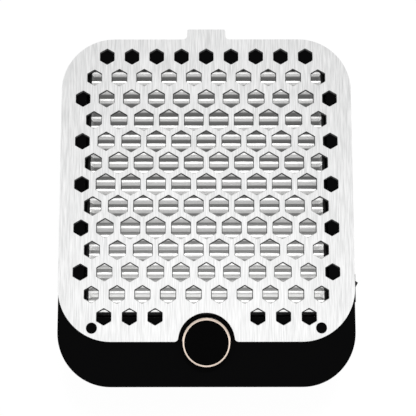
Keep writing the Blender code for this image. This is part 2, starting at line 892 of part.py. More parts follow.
def ear_places():
    """The fan module's four screw ears, round the outside of the scroll."""
    places = []
    span = 2 * math.pi - tongue_angle
    for angle in ear_angles:
        share = (angle - tongue_angle) / span
        radius = scroll_start_radius + (scroll_end_radius - scroll_start_radius) * share
        radius += scroll_wall + ear_reach
        places.append((fan_x + radius * math.cos(angle), fan_y + radius * math.sin(angle)))
    places.append((duct_sides()[1] + scroll_wall + ear_reach, fan_y + scroll_start_radius))
    return places


def make_fan_housing(shell_material, cover_material):
    """The scroll, open at its top and at the outlet, and the cover with the inlet that closes it."""
    back = body_back - shell_wall - duct_clearance
    spiral, outlet = scroll_block("fan_housing", scroll_wall, back, scroll_z, scroll_top)
    scroll = add_object("fan_housing", spiral, material=shell_material)
    ears = [rod_mesh("ear", ear_radius, scroll_z, scroll_z + scroll_base_thickness, round_steps, x, y)
            for x, y in ear_places()]
    join(scroll, add_object("outlet_block", outlet), add_object("ear_blocks", merged_mesh("ear_blocks", ears)))
    spiral_air, outlet_air = scroll_block("air", 0, back + cut_overrun, scroll_inside_z,
                                           scroll_top + cut_overrun)
    holes = [rod_mesh("hole", screw_shank_radius + seat_gap, scroll_z - cut_overrun,
                      scroll_inside_z + cut_overrun, small_steps, x, y) for x, y in ear_places()]
    holes.append(rod_mesh("hole", tube_outer_radius + seat_gap, scroll_z - cut_overrun,
                          scroll_inside_z + cut_overrun, round_steps, fan_x, fan_y))
    holes.append(rod_mesh("hole", lead_radius * 2, scroll_z - cut_overrun, scroll_inside_z + cut_overrun,
                          small_steps, fan_x, fan_y - motor_board_radius + lead_radius))
    cut(scroll, add_object("air_cutter", spiral_air), add_object("outlet_air_cutter", outlet_air),
        add_object("ear_hole_cutter", merged_mesh("ear_hole_cutter", holes)))
    lid_z = scroll_top + seat_gap / 2
    lid, lid_outlet = scroll_block("fan_cover", scroll_wall, back, lid_z, lid_z + scroll_cover_thickness)
    cover = add_object("fan_cover", lid, material=cover_material)
    join(cover, add_object("cover_outlet_block", lid_outlet))
    inlet = rod_mesh("inlet_opening", inlet_radius, lid_z - cut_overrun,
                     lid_z + scroll_cover_thickness + cut_overrun, fine_steps, fan_x, fan_y)
    cut(cover, add_object("inlet_opening_cutter", inlet))


def blade_outline(turn):
    """One impeller blade in plan: a bowed strip from the inner to the outer radius."""
    front = []
    behind = []
    for i in range(blade_steps + 1):
        share = i / blade_steps
        radius = blade_inner_radius + (impeller_radius - blade_thickness - blade_inner_radius) * share
        angle = turn + blade_sweep * share - blade_bow * share * (1 - share)
        half = blade_thickness / 2 / radius
        front.append((radius * math.cos(angle + half), radius * math.sin(angle + half)))
        behind.append((radius * math.cos(angle - half), radius * math.sin(angle - half)))
    return behind + front[::-1]


def make_impeller(material, spin):
    """The impeller: a disc with bowed blades, a shroud ring on them, and the hub cup over the motor."""
    place = (fan_x, fan_y, 0)
    disc_top = impeller_z + impeller_disc_thickness
    hub_inner = hub_radius - hub_wall
    hub_roof = hub_top_z()
    profile = [
        (motor_shaft_radius + fit_gap, hub_roof),
        (hub_top_radius, hub_roof),
        (hub_radius, hub_roof - (hub_radius - hub_top_radius)),
        (hub_radius, disc_top),
        (impeller_radius, disc_top),
        (impeller_radius, impeller_z),
        (hub_inner, impeller_z),
        (hub_inner, hub_roof - hub_wall),
        (motor_shaft_radius + fit_gap, hub_roof - hub_wall),
    ]
    impeller = add_object("fan_impeller", turned_mesh("fan_impeller", profile, fine_steps), place, material,
                          spin)
    blades = [flat_mesh("blade", [blade_outline(2 * math.pi * i / blade_count)], disc_top - join_overlap,
                        impeller_top - shroud_thickness / 2) for i in range(blade_count)]
    shroud_inner = blade_inner_radius + blade_thickness * 2
    shroud = flat_mesh("shroud", [circle(impeller_radius, fine_steps), circle(shroud_inner, fine_steps)],
                       impeller_top - shroud_thickness, impeller_top)
    join(impeller, add_object("blade_set", merged_mesh("blade_set", blades), place),
         add_object("shroud_ring", shroud, place))
    return impeller


def hub_top_z():
    """The hub's roof: over the rotor cup, which is over the magnet ring."""
    return rotor_top_z() + seat_gap + hub_wall


def magnet_z():
    return scroll_inside_z + tube_flange_thickness + seat_gap + motor_board_thickness + seat_gap * 2


def rotor_top_z():
    return magnet_z() + magnet_height + seat_gap + rotor_wall


def make_motor(steel, iron, brass, bearing, board, spin):
    """The external-rotor motor: tube, bearings, stator and board, and the turning cup, magnet and shaft."""
    place = (fan_x, fan_y, 0)
    cup_top = rotor_top_z()
    cup_bottom = magnet_z()
    cup_inner = rotor_radius - rotor_wall
    cup = [(motor_shaft_radius + fit_gap, cup_top), (rotor_radius, cup_top), (rotor_radius, cup_bottom),
           (cup_inner, cup_bottom), (cup_inner, cup_top - rotor_wall),
           (motor_shaft_radius + fit_gap, cup_top - rotor_wall)]
    add_object("rotor_cup", turned_mesh("rotor_cup", cup, motor_steps), place, steel, spin)
    magnet_outer = cup_inner - fit_gap
    magnet_inner = magnet_outer - magnet_thickness
    magnet = [(magnet_inner, cup_bottom + magnet_height), (magnet_outer, cup_bottom + magnet_height),
              (magnet_outer, cup_bottom), (magnet_inner, cup_bottom)]
    add_object("rotor_magnet", turned_mesh("rotor_magnet", magnet, motor_steps), place, iron, spin)

    tube_top = cup_top - rotor_wall - seat_gap * 2
    tube_bottom = scroll_z
    flange_z = scroll_inside_z + seat_gap
    seat_top = tube_bottom + clip_thickness * 2 + bearing_length + seat_gap * 2
    tube = [(tube_inner_radius, tube_top), (tube_outer_radius, tube_top),
            (tube_outer_radius, flange_z + tube_flange_thickness),
            (tube_flange_radius, flange_z + tube_flange_thickness), (tube_flange_radius, flange_z),
            (tube_outer_radius, flange_z), (tube_outer_radius, tube_bottom), (tube_inner_radius, tube_bottom)]
    add_object("bearing_tube", turned_mesh("bearing_tube", tube, round_steps), place, brass)
    bore = motor_shaft_radius + bearing_bore_gap
    for name, top in (("bearing_lower", seat_top), ("bearing_upper", tube_top - fit_gap)):
        ring = [(bore, top), (bearing_radius, top), (bearing_radius, top - bearing_length),
                (bore, top - bearing_length)]
        add_object(name, turned_mesh(name, ring, round_steps), place, bearing)

    clip_z = seat_top - bearing_length - seat_gap - clip_thickness
    shaft = [(0, hub_top_z() - fit_gap), (motor_shaft_radius, hub_top_z() - fit_gap),
             (motor_shaft_radius, clip_z + clip_thickness + fit_gap),
             (clip_groove_radius, clip_z + clip_thickness + fit_gap), (clip_groove_radius, clip_z - fit_gap),
             (motor_shaft_radius, clip_z - fit_gap),
             (motor_shaft_radius, scroll_z - fan_boss_height / 2), (0, scroll_z - fan_boss_height / 2)]
    add_object("motor_shaft", turned_mesh("motor_shaft", shaft, small_steps, closed=False), place, steel, spin)
    clip_bore = clip_groove_radius + fit_gap
    clip = [(clip_bore, clip_z + clip_thickness), (clip_radius, clip_z + clip_thickness),
            (clip_radius, clip_z), (clip_bore, clip_z)]
    add_object("shaft_clip", turned_mesh("shaft_clip", clip, small_steps), place, steel, spin)

    board_bottom = flange_z + tube_flange_thickness + fit_gap
    ring = [circle(motor_board_radius, round_steps), circle(tube_outer_radius + seat_gap, round_steps)]
    add_object("motor_board", flat_mesh("motor_board", ring, board_bottom,
                                        board_bottom + motor_board_thickness), place, board)
    core_bottom = board_bottom + motor_board_thickness + seat_gap
    outline = []
    slice_angle = 2 * math.pi / stator_tooth_count
    half_slot = math.asin(stator_slot_width / 2 / stator_radius)
    half_root = math.asin(stator_slot_width / 2 / stator_core_radius)
    for i in range(stator_tooth_count):
        middle = slice_angle * i
        outline += arc(0, 0, stator_core_radius, middle - slice_angle / 2,
                       middle - slice_angle / 2 + half_root, 1)
        outline += arc(0, 0, stator_radius, middle - slice_angle / 2 + half_slot,
                       middle + slice_angle / 2 - half_slot, tooth_steps)
        outline += arc(0, 0, stator_core_radius, middle + slice_angle / 2 - half_root,
                       middle + slice_angle / 2, 1)[:1]
    core = flat_mesh("stator_core", [outline, circle(tube_outer_radius + fit_gap, round_steps)], core_bottom,
                     core_bottom + stator_height)
    add_object("stator_core", core, place, iron)


def make_fan_guard(material):
    """The finger guard in the well's floor: a rim, rings, spokes and a middle, in one flat grille."""
    seat = well_floor_top - guard_thickness
    rim_outer = guard_opening + guard_rim
    guard = add_object("fan_guard", flat_mesh("fan_guard", [circle(rim_outer, motor_steps),
                                                            circle(rim_outer - guard_rim * 2, motor_steps)],
                                              seat, well_floor_top), (fan_x, fan_y, 0), material)
    lowest = seat + fit_gap
    for number, share in enumerate(guard_ring_radii_shares):
        radius = (rim_outer - guard_rim) * share
        ring = flat_mesh("ring", [circle(radius + guard_ring_width / 2, motor_steps),
                                  circle(radius - guard_ring_width / 2, motor_steps)], seat, well_floor_top)
        join(guard, add_object("guard_ring_%d" % (number + 1), ring, (fan_x, fan_y, 0)))
    length = (rim_outer - guard_rim) * 2
    for number in range(guard_spokes // 2):
        spoke = add_object("guard_spoke_%d" % (number + 1),
                           box_mesh("spoke", (length, guard_spoke_width, guard_thickness - fit_gap * 2),
                                    (0, 0, (lowest + well_floor_top - fit_gap) / 2)), (fan_x, fan_y, 0))
        spoke.rotation_euler.z = 2 * math.pi * number / guard_spokes
        join(guard, spoke)
    middle = rod_mesh("middle", guard_hub_radius, seat, well_floor_top, round_steps)
    join(guard, add_object("guard_middle", middle, (fan_x, fan_y, 0)))
    return guard


# Knob and potentiometer

def make_knob(black, rose, steel, dark, turn):
    """The knob with its bevelled ring, on the shaft of the potentiometer that hangs under the deck."""
    place = (0, knob_y, 0)
    ring_foot = knob_top - ring_drop - ring_band
    knob_bottom = deck_z + knob_float
    skirt_inner = ring_outer_radius - knob_skirt_wall
    roof = knob_top - ring_drop - ring_band - knob_crown
    boss_bottom = deck_z + seat_gap * 2 + washer_thickness + nut_thickness + knob_boss_gap
    bore = shaft_radius + fit_gap
    bore_top = knob_top - knob_bore_cover
    outline = [(0, knob_top), (knob_top_radius, knob_top), (knob_top_radius, ring_foot),
               (ring_outer_radius, ring_foot), (ring_outer_radius, knob_bottom), (skirt_inner, knob_bottom),
               (skirt_inner, roof), (knob_boss_radius, roof), (knob_boss_radius, boss_bottom),
               (bore, boss_bottom), (bore, bore_top), (0, bore_top)]
    add_object("speed_knob", turned_mesh("speed_knob", outline, fine_steps, closed=False), place, black, turn)
    inner = knob_top_radius + fit_gap
    turns = [math.pi / 2 * i / ring_steps for i in range(ring_steps + 1)]
    ring = [(inner + (ring_outer_radius - inner) * math.sin(a), knob_top - ring_drop * (1 - math.cos(a)))
            for a in turns]
    ring += [(ring_outer_radius, ring_foot + fit_gap), (inner, ring_foot + fit_gap)]
    add_object("knob_ring", turned_mesh("knob_ring", ring, fine_steps), place, rose, turn)

    body_top = deck_z - shell_wall - seat_gap
    bushing_top = body_top + bushing_length
    body_bottom = body_top - pot_height
    shaft_bore = shaft_radius + shaft_bore_gap
    shaft_bottom = body_bottom + pot_height / 3
    pot = [(shaft_bore, bushing_top), (bushing_radius, bushing_top), (bushing_radius, body_top),
           (pot_radius, body_top), (pot_radius, body_bottom), (0, body_bottom),
           (0, shaft_bottom), (shaft_bore, shaft_bottom)]
    body = add_object("potentiometer", turned_mesh("potentiometer", pot, round_steps),
                      place, steel)
    lugs = box_mesh("lug_board", (lug_board_width, lug_board_length, lug_board_thickness),
                    (0, -pot_radius - lug_board_length / 4, body_bottom + lug_rise + lug_board_thickness / 2))
    join(body, add_object("lug_board", lugs, place))
    shaft = rod_mesh("potentiometer_shaft", shaft_radius, shaft_bottom + seat_gap, bore_top - seat_gap,
                     round_steps)
    add_object("potentiometer_shaft", shaft, place, dark, turn)
    washer_z = deck_z + seat_gap
    washer = [circle(washer_radius, round_steps), circle(bushing_radius + fit_gap, round_steps)]
    add_object("potentiometer_washer", flat_mesh("potentiometer_washer", washer, washer_z,
                                                 washer_z + washer_thickness), place, steel)
    nut_z = washer_z + washer_thickness + seat_gap / 2
    nut = [hexagon(nut_flats), circle(bushing_radius + fit_gap, round_steps)]
    add_object("potentiometer_nut", flat_mesh("potentiometer_nut", nut, nut_z, nut_z + nut_thickness),
               place, steel)


# Rocker switch

def rocker_profile():
    """The rocker's half section in plan (along the wall, outwards), for its back half."""
    tip = rocker_face_height + rocker_half_length * math.tan(rocker_half_throw)
    return [(rocker_half_length, tip), (rocker_half_length + rocker_flare, rocker_skirt),
            (rocker_half_length * rocker_keel_share, -rocker_depth)]


def rocker_swing_radius():
    """How far the rocker's ends reach from its pivot."""
    return max(math.hypot(along, out) for along, out in rocker_profile())


def bezel_face_x():
    return body_width / 2 + wall_flare(switch_z()) + seat_gap + bezel_thickness


def wall_flare(height):
    """How far the drafted wall stands out from the deck's edge at a height."""
    return mould_draft * (deck_z - height) / (deck_z - upper_z)


def switch_z():
    return plate_top - switch_depth


def switch_y():
    return switch_tip_y - switch_raise_y


def pivot_x():
    return bezel_face_x() - rocker_face_height * math.cos(rocker_half_throw)


def make_switch(black, brass, rock):
    """The power switch: a bezel and body let into the wall, the rocker on its pivot, and two terminals."""
    x, y, z = pivot_x(), switch_y(), switch_z()
    back_half = rocker_profile()
    front_half = [(-along, out) for along, out in back_half[::-1]]
    section = [(0, rocker_face_height)] + front_half[::-1] + back_half[::-1]
    plan = [(out, along) for along, out in section]
    key = flat_mesh("switch_rocker", [plan], -rocker_half_width, rocker_half_width)
    rocker = add_object("switch_rocker", key, (x, y, z), black, rock)
    rocker.rotation_euler.z = -rocker_half_throw
    pin = rod_mesh("rocker_pin", rocker_pin_radius, -rocker_half_width - switch_side_gap - switch_side_wall / 2,
                   rocker_half_width + switch_side_gap + switch_side_wall / 2, small_steps)
    join(rocker, add_object("rocker_pin", pin, (x, y, z)))

    well_half_length_y = rocker_swing_radius() + switch_side_gap
    well_half_width_z = rocker_half_width + switch_side_gap
    body_half_length = well_half_length_y + switch_end_wall
    body_half_width = well_half_width_z + switch_side_wall
    face = bezel_face_x()
    frame = add_object("switch_frame", box_mesh("switch_frame", (switch_body_depth, body_half_length * 2,
                                                                 body_half_width * 2),
                                                (face - switch_body_depth / 2, y, z)), material=black)
    bezel = box_mesh("bezel", (bezel_thickness, (body_half_length + bezel_end_border) * 2,
                               (body_half_width + bezel_border) * 2), (face - bezel_thickness / 2, y, z))
    join(frame, add_object("bezel_block", bezel))
    cavity_depth = switch_body_depth - switch_back_wall
    cavity = box_mesh("cavity", (cavity_depth + cut_overrun, well_half_length_y * 2, well_half_width_z * 2),
                      (face - (cavity_depth - cut_overrun) / 2, y, z))
    pin_hole = rod_mesh("pin_hole", rocker_pin_radius + fit_gap, -body_half_width - cut_overrun,
                        body_half_width + cut_overrun, small_steps)
    cut(frame, add_object("switch_cavity_cutter", cavity), add_object("pin_hole_cutter", pin_hole, (x, y, z)))
    back = face - switch_body_depth
    for number, side in enumerate((-1, 1)):
        tab = box_mesh("terminal", (terminal_thickness, terminal_width, terminal_length),
                       (back - seat_gap - terminal_thickness / 2, y + side * terminal_spacing / 2,
                        z - terminal_length / 2))
        add_object("switch_terminal_%d" % (number + 1), tab, material=brass)


# Inlet socket

def make_inlet(black, steel):
    """The low-voltage socket: its threaded nose through the back wall, its nut outside and its centre pin."""
    wall_out = body_back + mould_draft
    wall_in = body_back - shell_wall
    nose = wall_out + inlet_nut_thickness + inlet_nose / 2
    inner_end = wall_in - seat_gap - inlet_body_length
    shoulder = wall_in - seat_gap * 2
    bore_end = nose - inlet_bore_depth
    place = (inlet_x, 0, inlet_z)
    profile = [(inlet_bore_radius, nose), (inlet_thread_radius, nose), (inlet_thread_radius, shoulder),
               (inlet_body_radius, shoulder), (inlet_body_radius, inner_end),
               (inlet_pin_radius + fit_gap, inner_end), (inlet_pin_radius + fit_gap, bore_end),
               (inlet_bore_radius, bore_end)]
    pin = [(0, nose - inlet_pin_recess), (inlet_pin_radius, nose - inlet_pin_recess),
           (inlet_pin_radius, inner_end - inlet_nose / 2), (0, inner_end - inlet_nose / 2)]
    nut_start = wall_out + seat_gap
    nut = flat_mesh("inlet_nut", [hexagon(inlet_nut_flats), circle(inlet_thread_radius + fit_gap, round_steps)],
                    nut_start, nut_start + inlet_nut_thickness)
    for name, mesh, material in (("inlet_socket", turned_mesh("inlet_socket", profile, round_steps), black),
                                 ("inlet_pin", turned_mesh("inlet_pin", pin, small_steps, closed=False), steel),
                                 ("inlet_nut", nut, steel)):
        piece = add_object(name, mesh, place, material)
        piece.rotation_euler.x = -math.pi / 2


# Control board

def make_board(board_material, capacitor_material, sink_material, plug_material, steel):
    """The speed controller: a board on two standoffs, with what stands on it."""
    outline = rounded_outline(board_width / 2, board_length / 2, boss_radius / 2, 2, board_y)
    holes = [circle(screw_shank_radius + seat_gap, small_steps, x, y) for x, y in board_screw_places()]
    add_object("control_board", flat_mesh("control_board", [outline, *holes], board_z, board_top),
               material=board_material)
    stand = board_top + seat_gap
    can = [(0, stand + capacitor_height), (capacitor_radius - capacitor_crimp, stand + capacitor_height),
           (capacitor_radius, stand + capacitor_height - capacitor_crimp), (capacitor_radius, stand),
           (0, stand)]
    add_object("board_capacitor", turned_mesh("board_capacitor", can, round_steps, closed=False),
               (-board_part_x, board_y, 0), capacitor_material)
    sink = add_object("board_heat_sink", box_mesh("board_heat_sink", (heat_sink_width, heat_sink_length,
                                                                      heat_sink_height),
                                                  (0, 0, stand + heat_sink_height / 2)),
                      (board_part_x, board_y, 0), sink_material)
    pitch = (heat_sink_width - heat_sink_fin) / (heat_sink_fins - 1)
    gaps = [box_mesh("fin_gap", (pitch - heat_sink_fin, heat_sink_length, heat_sink_height + cut_overrun * 2),
                     (pitch * (i - (heat_sink_fins - 2) / 2), heat_sink_back, stand + heat_sink_height / 2))
            for i in range(heat_sink_fins - 1)]
    cut(sink, add_object("fin_gap_cutter", merged_mesh("fin_gap_cutter", gaps), (board_part_x, board_y, 0)))
    plug = add_object("board_connector", box_mesh("board_connector", (connector_width, connector_length,
                                                                      connector_height),
                                                  (0, board_y, stand + connector_height / 2)),
                      material=plug_material)
    socket = box_mesh("socket", (connector_width - connector_wall * 2, connector_length - connector_wall * 2,
                                 connector_height), (0, board_y, stand + connector_height / 2 + connector_wall))
    cut(plug, add_object("socket_cutter", socket))
    for number, (x, y) in enumerate(board_screw_places()):
        screw_piece("board_screw_%d" % (number + 1), (x, y, stand), fan_screw_length, fan_screw_head_radius,
                    fan_screw_head_height, steel)


def screw_piece(name, seat, length, head_radius, head_height, material, upwards=False):
    """A pan-head screw, its head on the seat and its shank into the boss."""
    profile = [(0, head_height), (head_radius * screw_crown_share, head_height),
               (head_radius, head_height * screw_edge_share),
               (head_radius, 0), (screw_shank_radius, 0), (screw_shank_radius, -length), (0, -length)]
    piece = add_object(name, turned_mesh(name, profile, small_steps, closed=False), seat, material)
    if upwards:
        piece.rotation_euler.x = math.pi
    return piece


def make_screws(steel):
    for number, (x, y) in enumerate(screw_places()):
        seat = base_z + screw_recess_depth - seat_gap
        length = parting_z - seat + screw_grip
        screw_piece("housing_screw_%d" % (number + 1), (x, y, seat), length, screw_head_radius,
                    screw_head_height, steel, upwards=True)
    for number, (x, y) in enumerate(ear_places()):
        screw_piece("fan_screw_%d" % (number + 1), (x, y, scroll_inside_z + seat_gap), fan_screw_length,
                    fan_screw_head_radius, fan_screw_head_height, steel)


def make_feet(rubber):
    """Rubber feet, each with a stem through the floor and a head that holds it."""
    stem_top = floor_z + seat_gap + foot_head_height
    profile = [(0, stem_top), (foot_head_tip_radius, stem_top), (foot_head_radius, floor_z + seat_gap),
               (foot_stem_radius, floor_z + seat_gap), (foot_stem_radius, base_z - seat_gap),
               (foot_radius, base_z - seat_gap), (foot_radius, foot_edge),
               (foot_radius - foot_edge, 0), (0, 0)]
    for number, (x, y) in enumerate(foot_places()):
        name = "foot_%d" % (number + 1)
        add_object(name, turned_mesh(name, profile, round_steps, closed=False), (x, y, 0), rubber)


# Leads

def make_leads(red, dark):
    """The four inner leads, from each device to the board, clear of the fan."""
    plug_top = board_top + seat_gap + connector_wall + seat_gap + lead_radius
    under = floor_z + lead_radius + seat_gap * 2
    gap = lead_radius * 4
    motor_start = (fan_x, fan_y - motor_board_radius + lead_radius, scroll_inside_z + tube_flange_thickness / 2)
    motor = [motor_start, (fan_x, motor_start[1], under + lead_radius), (fan_x, motor_start[1] - gap, under),
             (fan_x, fan_y - scroll_start_radius, under), (fan_x, board_y + board_length, under),
             (fan_x, board_y + board_length / 2 + gap, under + gap),
             (fan_x, board_y + board_length / 2 + lead_radius * 2, board_top + gap),
             (-connector_width / 2 - lead_radius * 2, board_y, board_top + gap)]
    add_object("motor_lead", lead_mesh("motor_lead", motor), material=red)

    lane_x = -side_screw_x + screw_boss_radius + lead_radius * 3
    inlet_start = (inlet_x, body_back - shell_wall - seat_gap * 2 - inlet_body_length - inlet_nose / 2
                   - seat_gap - lead_radius / 2, inlet_z)
    inlet = [inlet_start, (inlet_x, inlet_start[1] - gap, inlet_z),
             (inlet_x - gap * 3, inlet_start[1] - gap * 2, under + gap),
             (lane_x + gap, fan_y + scroll_start_radius, under + gap / 2), (lane_x, fan_y, under + gap / 2),
             (lane_x + gap, fan_y - scroll_start_radius, under + gap / 2),
             (-board_width * inlet_lead_shares[0], board_y + board_length / 2 + gap, board_top + gap),
             (-board_width * inlet_lead_shares[1], board_y + lead_radius * 2, board_top + gap),
             (inlet_lead_screw_gap - board_screw_spread / 2, board_y, board_top + gap / 2)]
    add_object("inlet_lead", lead_mesh("inlet_lead", inlet), material=dark)

    terminal_x = bezel_face_x() - switch_body_depth - seat_gap - terminal_thickness / 2
    terminal_low = switch_z() - terminal_length - lead_radius
    switch_end_y = board_y + board_length * switch_lead_length_share
    switch = [(terminal_x, switch_y() - terminal_spacing / 2, terminal_low),
              (terminal_x, switch_y() - terminal_spacing / 2, terminal_low - gap),
              (terminal_x - gap, switch_y() - gap * 3, terminal_low - gap * 4),
              (board_width * switch_lead_shares[0], board_y + board_length / 2 + gap, board_top + gap * 2),
              (board_width * switch_lead_shares[1], switch_end_y, board_top + gap),
              (board_width * switch_lead_shares[2], switch_end_y, board_top + gap / 2)]
    add_object("switch_lead", lead_mesh("switch_lead", switch), material=red)

    lug_z = deck_z - shell_wall - seat_gap - pot_height + lug_rise - seat_gap
    lug_y = knob_y - pot_radius - lug_board_length / 2
    speed = [(0, lug_y, lug_z), (0, lug_y, lug_z - gap),
             (lead_radius, lug_y - gap / 2, (lug_z + board_top) / 2), (0, board_y, plug_top + gap),
             (0, board_y, plug_top)]
    add_object("speed_lead", lead_mesh("speed_lead", speed), material=dark)


clear_scene()
parts = new_collection("nail_dust_collector")
cutters = new_collection("cutters")

shell_black = make_material("shell_black", (0.012, 0.012, 0.013), 0.42)
knob_black = make_material("knob_black", (0.010, 0.010, 0.011), 0.35)
cover_steel = make_material("cover_steel", (0.83, 0.84, 0.84), 0.34, 1.0)
rose_metal = make_material("rose_metal", (0.92, 0.66, 0.54), 0.22, 1.0)
filter_white = make_material("filter_white", (0.92, 0.92, 0.92), 0.9)
frame_black = make_material("frame_black", (0.015, 0.015, 0.015), 0.55)
seal_foam = make_material("seal_foam", (0.05, 0.05, 0.05), 0.95)
fan_plastic = make_material("fan_plastic", (0.03, 0.03, 0.03), 0.5)
zinc_steel = make_material("zinc_steel", (0.62, 0.63, 0.65), 0.35, 1.0)
core_iron = make_material("core_iron", (0.2, 0.2, 0.21), 0.5, 1.0)
bright_brass = make_material("bright_brass", (0.78, 0.6, 0.3), 0.3, 1.0)
board_green = make_material("board_green", (0.03, 0.16, 0.07), 0.4)
foot_rubber = make_material("foot_rubber", (0.02, 0.02, 0.02), 0.85)
lead_red = make_material("lead_red", (0.45, 0.02, 0.02), 0.5)
lead_black = make_material("lead_black", (0.02, 0.02, 0.02), 0.5)
sink_aluminium = make_material("sink_aluminium", (0.75, 0.75, 0.76), 0.4, 1.0)
plug_white = make_material("plug_white", (0.9, 0.9, 0.88), 0.5)

cover_lift = axis_empty("cover_lift_axis", (0, 0, plate_z))
filter_lift = axis_empty("filter_lift_axis", (0, filter_centre_y, filter_z))
knob_turn = axis_empty("knob_turn_axis", (0, knob_y, deck_z))
fan_spin = axis_empty("fan_spin_axis", (fan_x, fan_y, scroll_z))
switch_rock = axis_empty("switch_rock_axis", (pivot_x(), switch_y(), switch_z()))

make_lower_housing(shell_black)
make_upper_housing(shell_black)
make_cover_plate(cover_steel, cover_lift)
make_filter(frame_black, filter_white, seal_foam, filter_lift)
make_fan_housing(fan_plastic, fan_plastic)
make_impeller(fan_plastic, fan_spin)
make_motor(zinc_steel, core_iron, bright_brass, zinc_steel, board_green, fan_spin)
make_fan_guard(shell_black)
make_knob(knob_black, rose_metal, zinc_steel, zinc_steel, knob_turn)
make_switch(knob_black, bright_brass, switch_rock)
make_inlet(knob_black, zinc_steel)
make_board(board_green, frame_black, sink_aluminium, plug_white, zinc_steel)
make_screws(zinc_steel)
make_feet(foot_rubber)
make_leads(lead_red, lead_black)
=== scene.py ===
"""Looks of the nail dust collector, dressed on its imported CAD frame.

The frame brings the solids, in metres: +Z up, the knob's end towards -Y, the table at zero height. The
visible skins are made again here as smooth parametric surfaces, worked out with numpy, and every piece
gets a procedural finish.
"""
import logging
import math
from dataclasses import dataclass
from enum import Enum

import bmesh
import bpy
import numpy as np
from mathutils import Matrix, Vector
from mathutils.geometry import tessellate_polygon


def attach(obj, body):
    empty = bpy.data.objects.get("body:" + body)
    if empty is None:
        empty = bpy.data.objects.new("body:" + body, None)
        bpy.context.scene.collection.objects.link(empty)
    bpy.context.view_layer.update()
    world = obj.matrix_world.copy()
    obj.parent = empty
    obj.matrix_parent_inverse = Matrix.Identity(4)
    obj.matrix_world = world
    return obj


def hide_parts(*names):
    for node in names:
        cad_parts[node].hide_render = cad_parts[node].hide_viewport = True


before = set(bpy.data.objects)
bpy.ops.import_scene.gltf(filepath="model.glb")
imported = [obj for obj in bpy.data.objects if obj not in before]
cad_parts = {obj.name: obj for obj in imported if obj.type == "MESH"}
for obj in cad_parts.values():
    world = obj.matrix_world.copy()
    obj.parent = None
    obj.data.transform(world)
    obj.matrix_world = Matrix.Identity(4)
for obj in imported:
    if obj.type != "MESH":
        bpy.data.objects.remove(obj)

log = logging.getLogger("nail_dust_collector")
Array = np.ndarray

MM = 0.001
MERGE_DISTANCE = 0.000002
SAME_PLACE = 1e-7
NO_LENGTH = 1e-12
SHARP_ANGLE = math.radians(32)
QUARTER_TURN = math.pi / 2
FULL_TURN = 2 * math.pi
SMOOTHEST = 0.02

# Places that several pieces share, in metres

KNOB_Y = -0.10155
WELL_Y = 0.0115
SWITCH_Y = -0.06285
SWITCH_Z = 0.0495
PIN_PLACES = ((-0.08495, -0.09165), (0.08495, -0.09165))
FOOT_PLACES = ((-0.0820, -0.08575), (0.0820, -0.08575), (-0.0820, 0.09165), (0.0820, 0.09165))
PLEAT_PITCH = 0.00706


# Node graphs

class Graph:
    """A node tree with short calls for adding and joining nodes."""

    def __init__(self, tree: bpy.types.NodeTree) -> None:
        """Empties the tree.

        Args:
            tree: the tree of a material, a world or a node group.
        """
        self.tree = tree
        tree.nodes.clear()

    def add(self, kind: str, inputs: dict | None = None, **settings: object) -> bpy.types.Node:
        """Adds a node.

        Args:
            kind: the node's type name without its common prefix, or a full type name.
            inputs: socket name or number to a plain value or to another node's output.
            **settings: the node's own properties.

        Returns:
            The new node.
        """
        full = kind if kind.startswith("Node") else "ShaderNode" + kind
        node = self.tree.nodes.new(full)
        for name, value in settings.items():
            setattr(node, name, value)
        for name, value in (inputs or {}).items():
            if isinstance(value, bpy.types.NodeSocket):
                self.tree.links.new(value, node.inputs[name])
            else:
                node.inputs[name].default_value = value
        return node

    def link(self, source: bpy.types.NodeSocket, target: bpy.types.NodeSocket) -> None:
        """Joins an output to an input."""
        self.tree.links.new(source, target)

    def maths(self, operation: str, first: object, second: object = 0.0) -> bpy.types.NodeSocket:
        """Adds a Math node.

        Args:
            operation: the node's operation name.
            first: a value or an output.
            second: a value or an output.

        Returns:
            The result's socket.
        """
        return self.add("Math", {0: first, 1: second}, operation=operation).outputs[0]

    def ramp(self, value: bpy.types.NodeSocket, start: object, end: object, low: object = 0.0,
             high: object = 1.0) -> bpy.types.NodeSocket:
        """Adds a Map Range node: a straight run from low to high, held at both ends.

        Args:
            value: the output that runs.
            start: where the run starts.
            end: where it ends.
            low: the result at the start.
            high: the result at the end.

        Returns:
            The result's socket.
        """
        return self.add("MapRange", {0: value, 1: start, 2: end, 3: low, 4: high}).outputs[0]

    def scaled(self, vector: bpy.types.NodeSocket, share: bpy.types.NodeSocket) -> bpy.types.NodeSocket:
        """A vector or a colour times a share."""
        return self.add("VectorMath", {0: vector, "Scale": share}, operation="SCALE").outputs["Vector"]


class Effect(Enum):
    """The surface effects that the finishes share, each a shader node group."""

    GRAIN = "spark_grain"
    BRUSHED = "brushed_lines"
    TURNED = "turned_lines"
    FIBRE = "fibre_mat"


